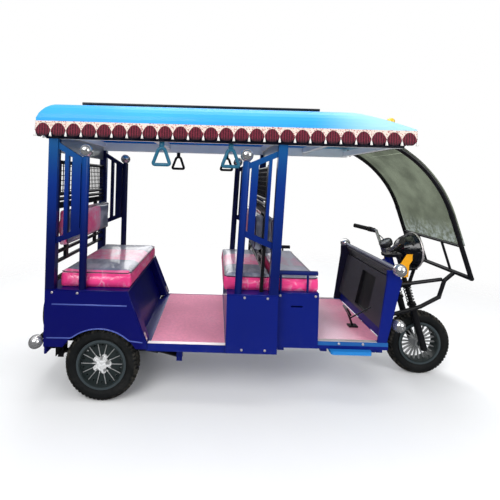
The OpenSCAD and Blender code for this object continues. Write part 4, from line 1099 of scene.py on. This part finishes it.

# Pressed edges and beads on the body panels, as thin round bars half sunk in the sheet; the arch and swage
# beads are paler, a painted highlight
archMiddle, archRadius = (-950, 157), 268
archTurns = [math.radians(t) for t in range(128, 48, -4)]
arch = [(archMiddle[0] + archRadius * math.cos(t), archMiddle[1] + archRadius * math.sin(t))
        for t in archTurns]
beadPlan = {
    # name: (finish, radius, y, points in x and z)
    "archBead": ("beadPaint", 4.5, 449, [(-1268, 364), (-1128, 365)] + arch + [(-768, 357), (-690, 349)]),
    "swageBead": ("beadPaint", 6, 446, [(-1240, 566), (-790, 566)]),
    "deckBead": ("bodyPaint", 5, 447, [(-1283, 651), (-790, 651), (-664, 345)]),
    "sillBead": ("bodyPaint", 4, 435, [(-662, 297), (-192, 297)]),
    "midBead": ("bodyPaint", 5, 447, [(-188, 651), (114, 651)]),
    "driverBead": ("bodyPaint", 5, 392, [(121, 651), (378, 651)]),
}
for name, (finish, radius, y, points) in beadPlan.items():
    for tail, side in bothSides.items():
        bead = tubeShape([at(x, side * y, z) for x, z in points], radius / 1000, 8)
        makePiece(name + tail, bead, finish, "chassis", "body_paint")


# Box between two drawn corners, with its edges cut
def boxShape(low, high, cut):
    low, high = Vector(low), Vector(high)
    verts = []
    for z, inset in ((low.z, cut), (low.z + cut, 0.0), (high.z - cut, 0.0), (high.z, cut)):
        a, b = low.xy + Vector((inset, inset)), high.xy - Vector((inset, inset))
        ring = ((a.x + cut, a.y), (b.x - cut, a.y), (b.x, a.y + cut), (b.x, b.y - cut),
                (b.x - cut, b.y), (a.x + cut, b.y), (a.x, b.y - cut), (a.x, a.y + cut))
        verts += [at(x, y, z) for x, y in ring]
    return verts, stitch(4, 8) + [tuple(reversed(range(8))), tuple(range(24, 32))]


stripPlan = {
    # name: (low corner, high corner) on the left; each has its match on the right
    "sillStrip": ((-662, 409, 340), (-192, 437, 342.5)),
    "frontStrip": ((384, 354, 355), (752, 382, 357.5)),
}
for name, (low, high) in stripPlan.items():
    for tail, side in bothSides.items():
        near, far = sorted((side * low[1], side * high[1]))
        strip = boxShape((low[0], near, low[2]), (high[0], far, high[2]), 0.8)
        makePiece(name + tail, strip, "edgeStrip", "chassis", "polished_sheet", smooth=False)

# Bolts at the post feet, on the middle panels and along the front sills
boltPlan = {
    # y of the face: places in x and z
    450: [(-1241, 637), (-1089, 636), (-84, 636), (55, 634), (-95, 322), (45, 322)],
    383: [(515, 343), (664, 343)],
    395: [(140, 636), (360, 636)],
}
places = [(at(x, side * y, z), (0, side, 0), (1, 0, 0))
          for y, spots in boltPlan.items() for x, z in spots for side in bothSides.values()]
scatter("panelBolts", places, boltShape(), "edgeStrip", "chassis", "chrome", size=0.0062)

# Foot brackets where the rear box meets the floor, lying on its sloping front
footSetup = {
    "place": (-666, 424, 340),
    "slope": (122, 0, -315),
    "up": 36,
    "half": (24, 15),
    "levels": (0.3, 3.0),
    "bolts": (-13, 13),
}


def makeFootPlates(setup):
    slope = Vector(setup["slope"]).normalized()
    face = Vector((-slope.z, 0, slope.x))
    x, y, z = setup["place"]
    long, wide = setup["half"]
    outline = ((-long, -wide), (long, -wide), (long, wide), (-long, wide))
    plates, bolts = [], []
    for side in bothSides.values():
        foot = Vector((x, side * y, z)) - slope * setup["up"]
        corners = [at(*(foot + slope * a + Vector((0, b, 0)) + face * level))
                   for level in setup["levels"] for a, b in outline]
        plates.append((corners, [(0, 3, 2, 1), (4, 5, 6, 7)] + stitch(2, 4)))
        top = foot + face * setup["levels"][1]
        bolts += [(at(*(top + slope * a)), face, (0, 1, 0)) for a in setup["bolts"]]
    makePiece("footPlates", joinShapes(plates), "edgeStrip", "chassis", "polished_sheet", smooth=False)
    scatter("footBolts", bolts, boltShape(), "edgeStrip", "chassis", "chrome", size=0.005)


makeFootPlates(footSetup)

# Moulded grab handles on their straps, rounder than the plain CAD loops
handleSetup = {
    "places": (-610, -190),
    "topHalf": 17,
    "footHalf": 53,
    "height": 100,
    "bar": 10.5,
    "bend": 17,
    "footRise": 9,               # the bar's middle above the CAD loop's foot
    "inset": 8,                  # and in from its outer face
    "strapHalf": (15, 4.5),
    "strapLap": 4,
    "strapGap": 0.3,
}


def roundedLoop(corners, bend, steps=5):
    path = []
    for i, corner in enumerate(corners):
        start = corner + (corners[i - 1] - corner).normalized() * bend
        end = corner + (corners[(i + 1) % len(corners)] - corner).normalized() * bend
        for k in range(steps + 1):
            t = k / steps
            path.append(start * (1 - t) ** 2 + corner * 2 * t * (1 - t) + end * t * t)
    return path


def makeHandles(setup):
    low, high = [(Vector(c) - drawn) * 1000 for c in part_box("grab_handles")]
    foot = low.z + setup["footRise"]
    top = foot + setup["height"]
    topHalf, footHalf = setup["topHalf"], setup["footHalf"]
    outline = ((-topHalf, top), (-footHalf, foot), (footHalf, foot), (topHalf, top))
    wide, thick = setup["strapHalf"]
    strapFoot, strapTop = top - setup["strapLap"], high.z - setup["strapGap"]
    shapes = []
    for side in bothSides.values():
        y = side * (high.y - setup["inset"])
        for x in setup["places"]:
            loop = roundedLoop([Vector((x + half, y, z)) for half, z in outline], setup["bend"])
            shapes.append(tubeShape([at(*p) for p in loop], setup["bar"] / 1000, 12, closed=True))
            shapes.append(boxShape((x - wide, y - thick, strapFoot), (x + wide, y + thick, strapTop), 1.2))
    makePiece("grabHandles", joinShapes(shapes), "handlePlastic", "chassis", "black_plastic",
              replaces=("grab_handles",))


makeHandles(handleSetup)
print("stage: body trim")


# Headlamp: a bright rim over the bowl's edge, a reflector and a bulb behind the glass
lampAt, lampAim = at(1180, 0, 858), (1, 0, 0)
# Instrument pod and its dial on the handlebar's riser
podAt, podAim = at(990, 0, 906), (-0.55, 0, 0.83)
rimTurns = [2 * math.pi * k / 14 for k in range(14)]
turnedPlan = {
    # name: (finish, slot, place, aim, steps round, rows of radius and height)
    "lampRing": ("edgeStrip", "chrome", lampAt, lampAim, 72, [
        (0.1235 + 0.0095 * math.cos(t), 0.006 + 0.0095 * math.sin(t)) for t in rimTurns]),
    "lampReflector": ("chrome", "chrome", lampAt, lampAim, 72, [
        (0.004, -0.0800), (0.030, -0.0765), (0.060, -0.0680), (0.083, -0.0585), (0.098, -0.038),
        (0.1045, -0.0245), (0.1155, -0.0095)]),
    "lampBulb": ("lampGlass", "lamp_glass", lampAt, lampAim, 24, [
        (0.0, -0.03), (0.006, -0.032), (0.011, -0.038), (0.013, -0.048), (0.012, -0.060), (0.009, -0.078)]),
    "instrumentPod": ("blackPlastic", "black_plastic", podAt, podAim, 40, [
        (0.0, -0.030), (0.026, -0.030), (0.040, -0.022), (0.047, -0.004), (0.047, 0.012), (0.043, 0.017),
        (0.039, 0.0165), (0.038, 0.012), (0.0, 0.012)]),
    "instrumentDial": ("lampGlass", "lamp_glass", podAt, podAim, 40, [
        (0.0, 0.0132), (0.0372, 0.0132), (0.0372, 0.0122)]),
}
for name, (finish, slot, place, aim, count, rows) in turnedPlan.items():
    shape = turnShape(rows, place, aim, count, closed=name == "lampRing")
    makePiece(name, shape, finish, "steering", slot)

# A switch box beside each grip
boxes = [tubeShape([at(991, side * 220, 969), at(1003, side * 201, 967)], 0.0185, 8)
         for side in bothSides.values()]
makePiece("switchBoxes", joinShapes(boxes), "blackPlastic", "steering", "black_plastic", smooth=False)

# Control cables from the levers round the headlamp to the fork
cableThick = 0.0072
cablePlan = {
    "brakeCable": [(994, -216, 956), (1014, -186, 946), (1036, -140, 918),
                   (1045, -98, 886), (1036, -66, 856), (1026, -54, 834)],
    "clutchCable": [(994, 216, 956), (1014, 186, 946), (1036, 140, 918),
                    (1045, 98, 886), (1036, 66, 856), (1026, 54, 834)],
    "switchCable": [(1000, -206, 953), (1016, -180, 942), (1017, -140, 912),
                    (1011, -100, 882), (1006, -60, 858), (1006, -40, 848)],
}
for name, points in cablePlan.items():
    path = smoothPath([at(*p) for p in points], 6)
    cable = makePiece(name, tubeShape(path, cableThick / 2, 10), "gripRubber", "steering", "rubber")
    length = sum((b - a).length for a, b in zip(path, path[1:]))
print("stage: lamp and controls")


# Ribbed cover on the back of the shield's top fold, over the liner
coverSetup = {
    "brow": (885, 740),
    "top": (853, 806),
    "half": 369,
    "ends": (-0.06, 0.98),
    "skins": (1, 7),
    "ribs": (0.12, 0.36, 0.6, 0.84),
}


def makeShieldCover(setup):
    brow, top, half = Vector(setup["brow"]), Vector(setup["top"]), setup["half"]
    way = (top - brow).normalized()

    def spot(t, out):
        return brow + (top - brow) * t + Vector((-way.y, way.x)) * out

    (foot, head), (inner, outer) = setup["ends"], setup["skins"]
    outline = [spot(foot, inner), spot(foot, outer), spot(head, outer), spot(head, inner)]
    verts = [at(x, side * half, z) for side in bothSides.values() for x, z in outline]
    walls = [(a, d, c, b) for a, b, c, d in stitch(2, 4)]
    cover = [(verts, [(0, 1, 2, 3), (7, 6, 5, 4)] + walls)]
    for t in setup["ribs"]:
        x, z = spot(t, outer)
        cover.append(tubeShape([at(x, -half + 4, z), at(x, half - 4, z)], 0.004, 8))
    makePiece("shieldCover", joinShapes(cover), "linerPlastic", "chassis", "grey_plastic", smooth=False)


makeShieldCover(coverSetup)
print("stage: shield cover")


# Amber corner lamps on the front of the roof, stood on its skin
cornerLamps = {"x": 770, "y": 428, "radius": 0.026, "height": 0.034}
roofSkin = skinOf(nodes["roof_canopy"].data)
r, h = cornerLamps["radius"], cornerLamps["height"]
lampRows = [(0.0, h), (r * 0.45, h * 0.95), (r * 0.78, h * 0.74), (r * 0.9, h * 0.42), (r * 0.9, h * 0.2)]
baseRows = [(r * 0.9, h * 0.22), (r * 1.08, h * 0.2), (r * 1.12, h * 0.1), (r * 1.12, -0.002), (0.0, -0.002)]
lamps, bases = [], []
for side in bothSides.values():
    above = at(cornerLamps["x"], side * cornerLamps["y"], 1900)
    spot, normal = roofSkin.ray_cast(above, Vector((0, 0, -1)))[:2]
    aim = Vector((normal.x, normal.y * 0.3, normal.z)).normalized()
    lamps.append(turnShape(lampRows, spot, aim, 24))
    bases.append(turnShape(baseRows, spot, aim, 24))
makePiece("cornerLamps", joinShapes(lamps), "amberLamp", "chassis", "amber_lamp")
makePiece("cornerLampBases", joinShapes(bases), "blackPlastic", "chassis", "black_plastic")
print("stage: corner lamps")


# The screen's sheet runs on up behind the fringe
screenTop = {"length": 0.05, "gap": 0.0004}
screenVerts = [v.co for v in nodes["windscreen"].data.vertices]
profile = sorted({(round(v.x, 4), round(v.z, 4)) for v in screenVerts})
capA, capB = (Vector((x, 0, z)) for x, z in profile[:2])
across = (capB - capA).normalized()
upward = Vector((-abs(across.z), 0, abs(across.x)))
reach = Vector((0, max(v.y for v in screenVerts), 0))
verts = [cap + upward * far + side * reach for far in (screenTop["gap"], screenTop["length"])
         for side in (-1, 1) for cap in (capA, capB)]
faces = [(0, 1, 3, 2), (4, 6, 7, 5), (0, 4, 5, 1), (2, 3, 7, 6), (0, 2, 6, 4), (1, 5, 7, 3)]
topSheet = makePiece("screenTop", (verts, faces), "clearSheet", "chassis", "clear_sheet", smooth=False)
fixNormals(topSheet.data)
print("stage: screen top")


print("stage: finished")
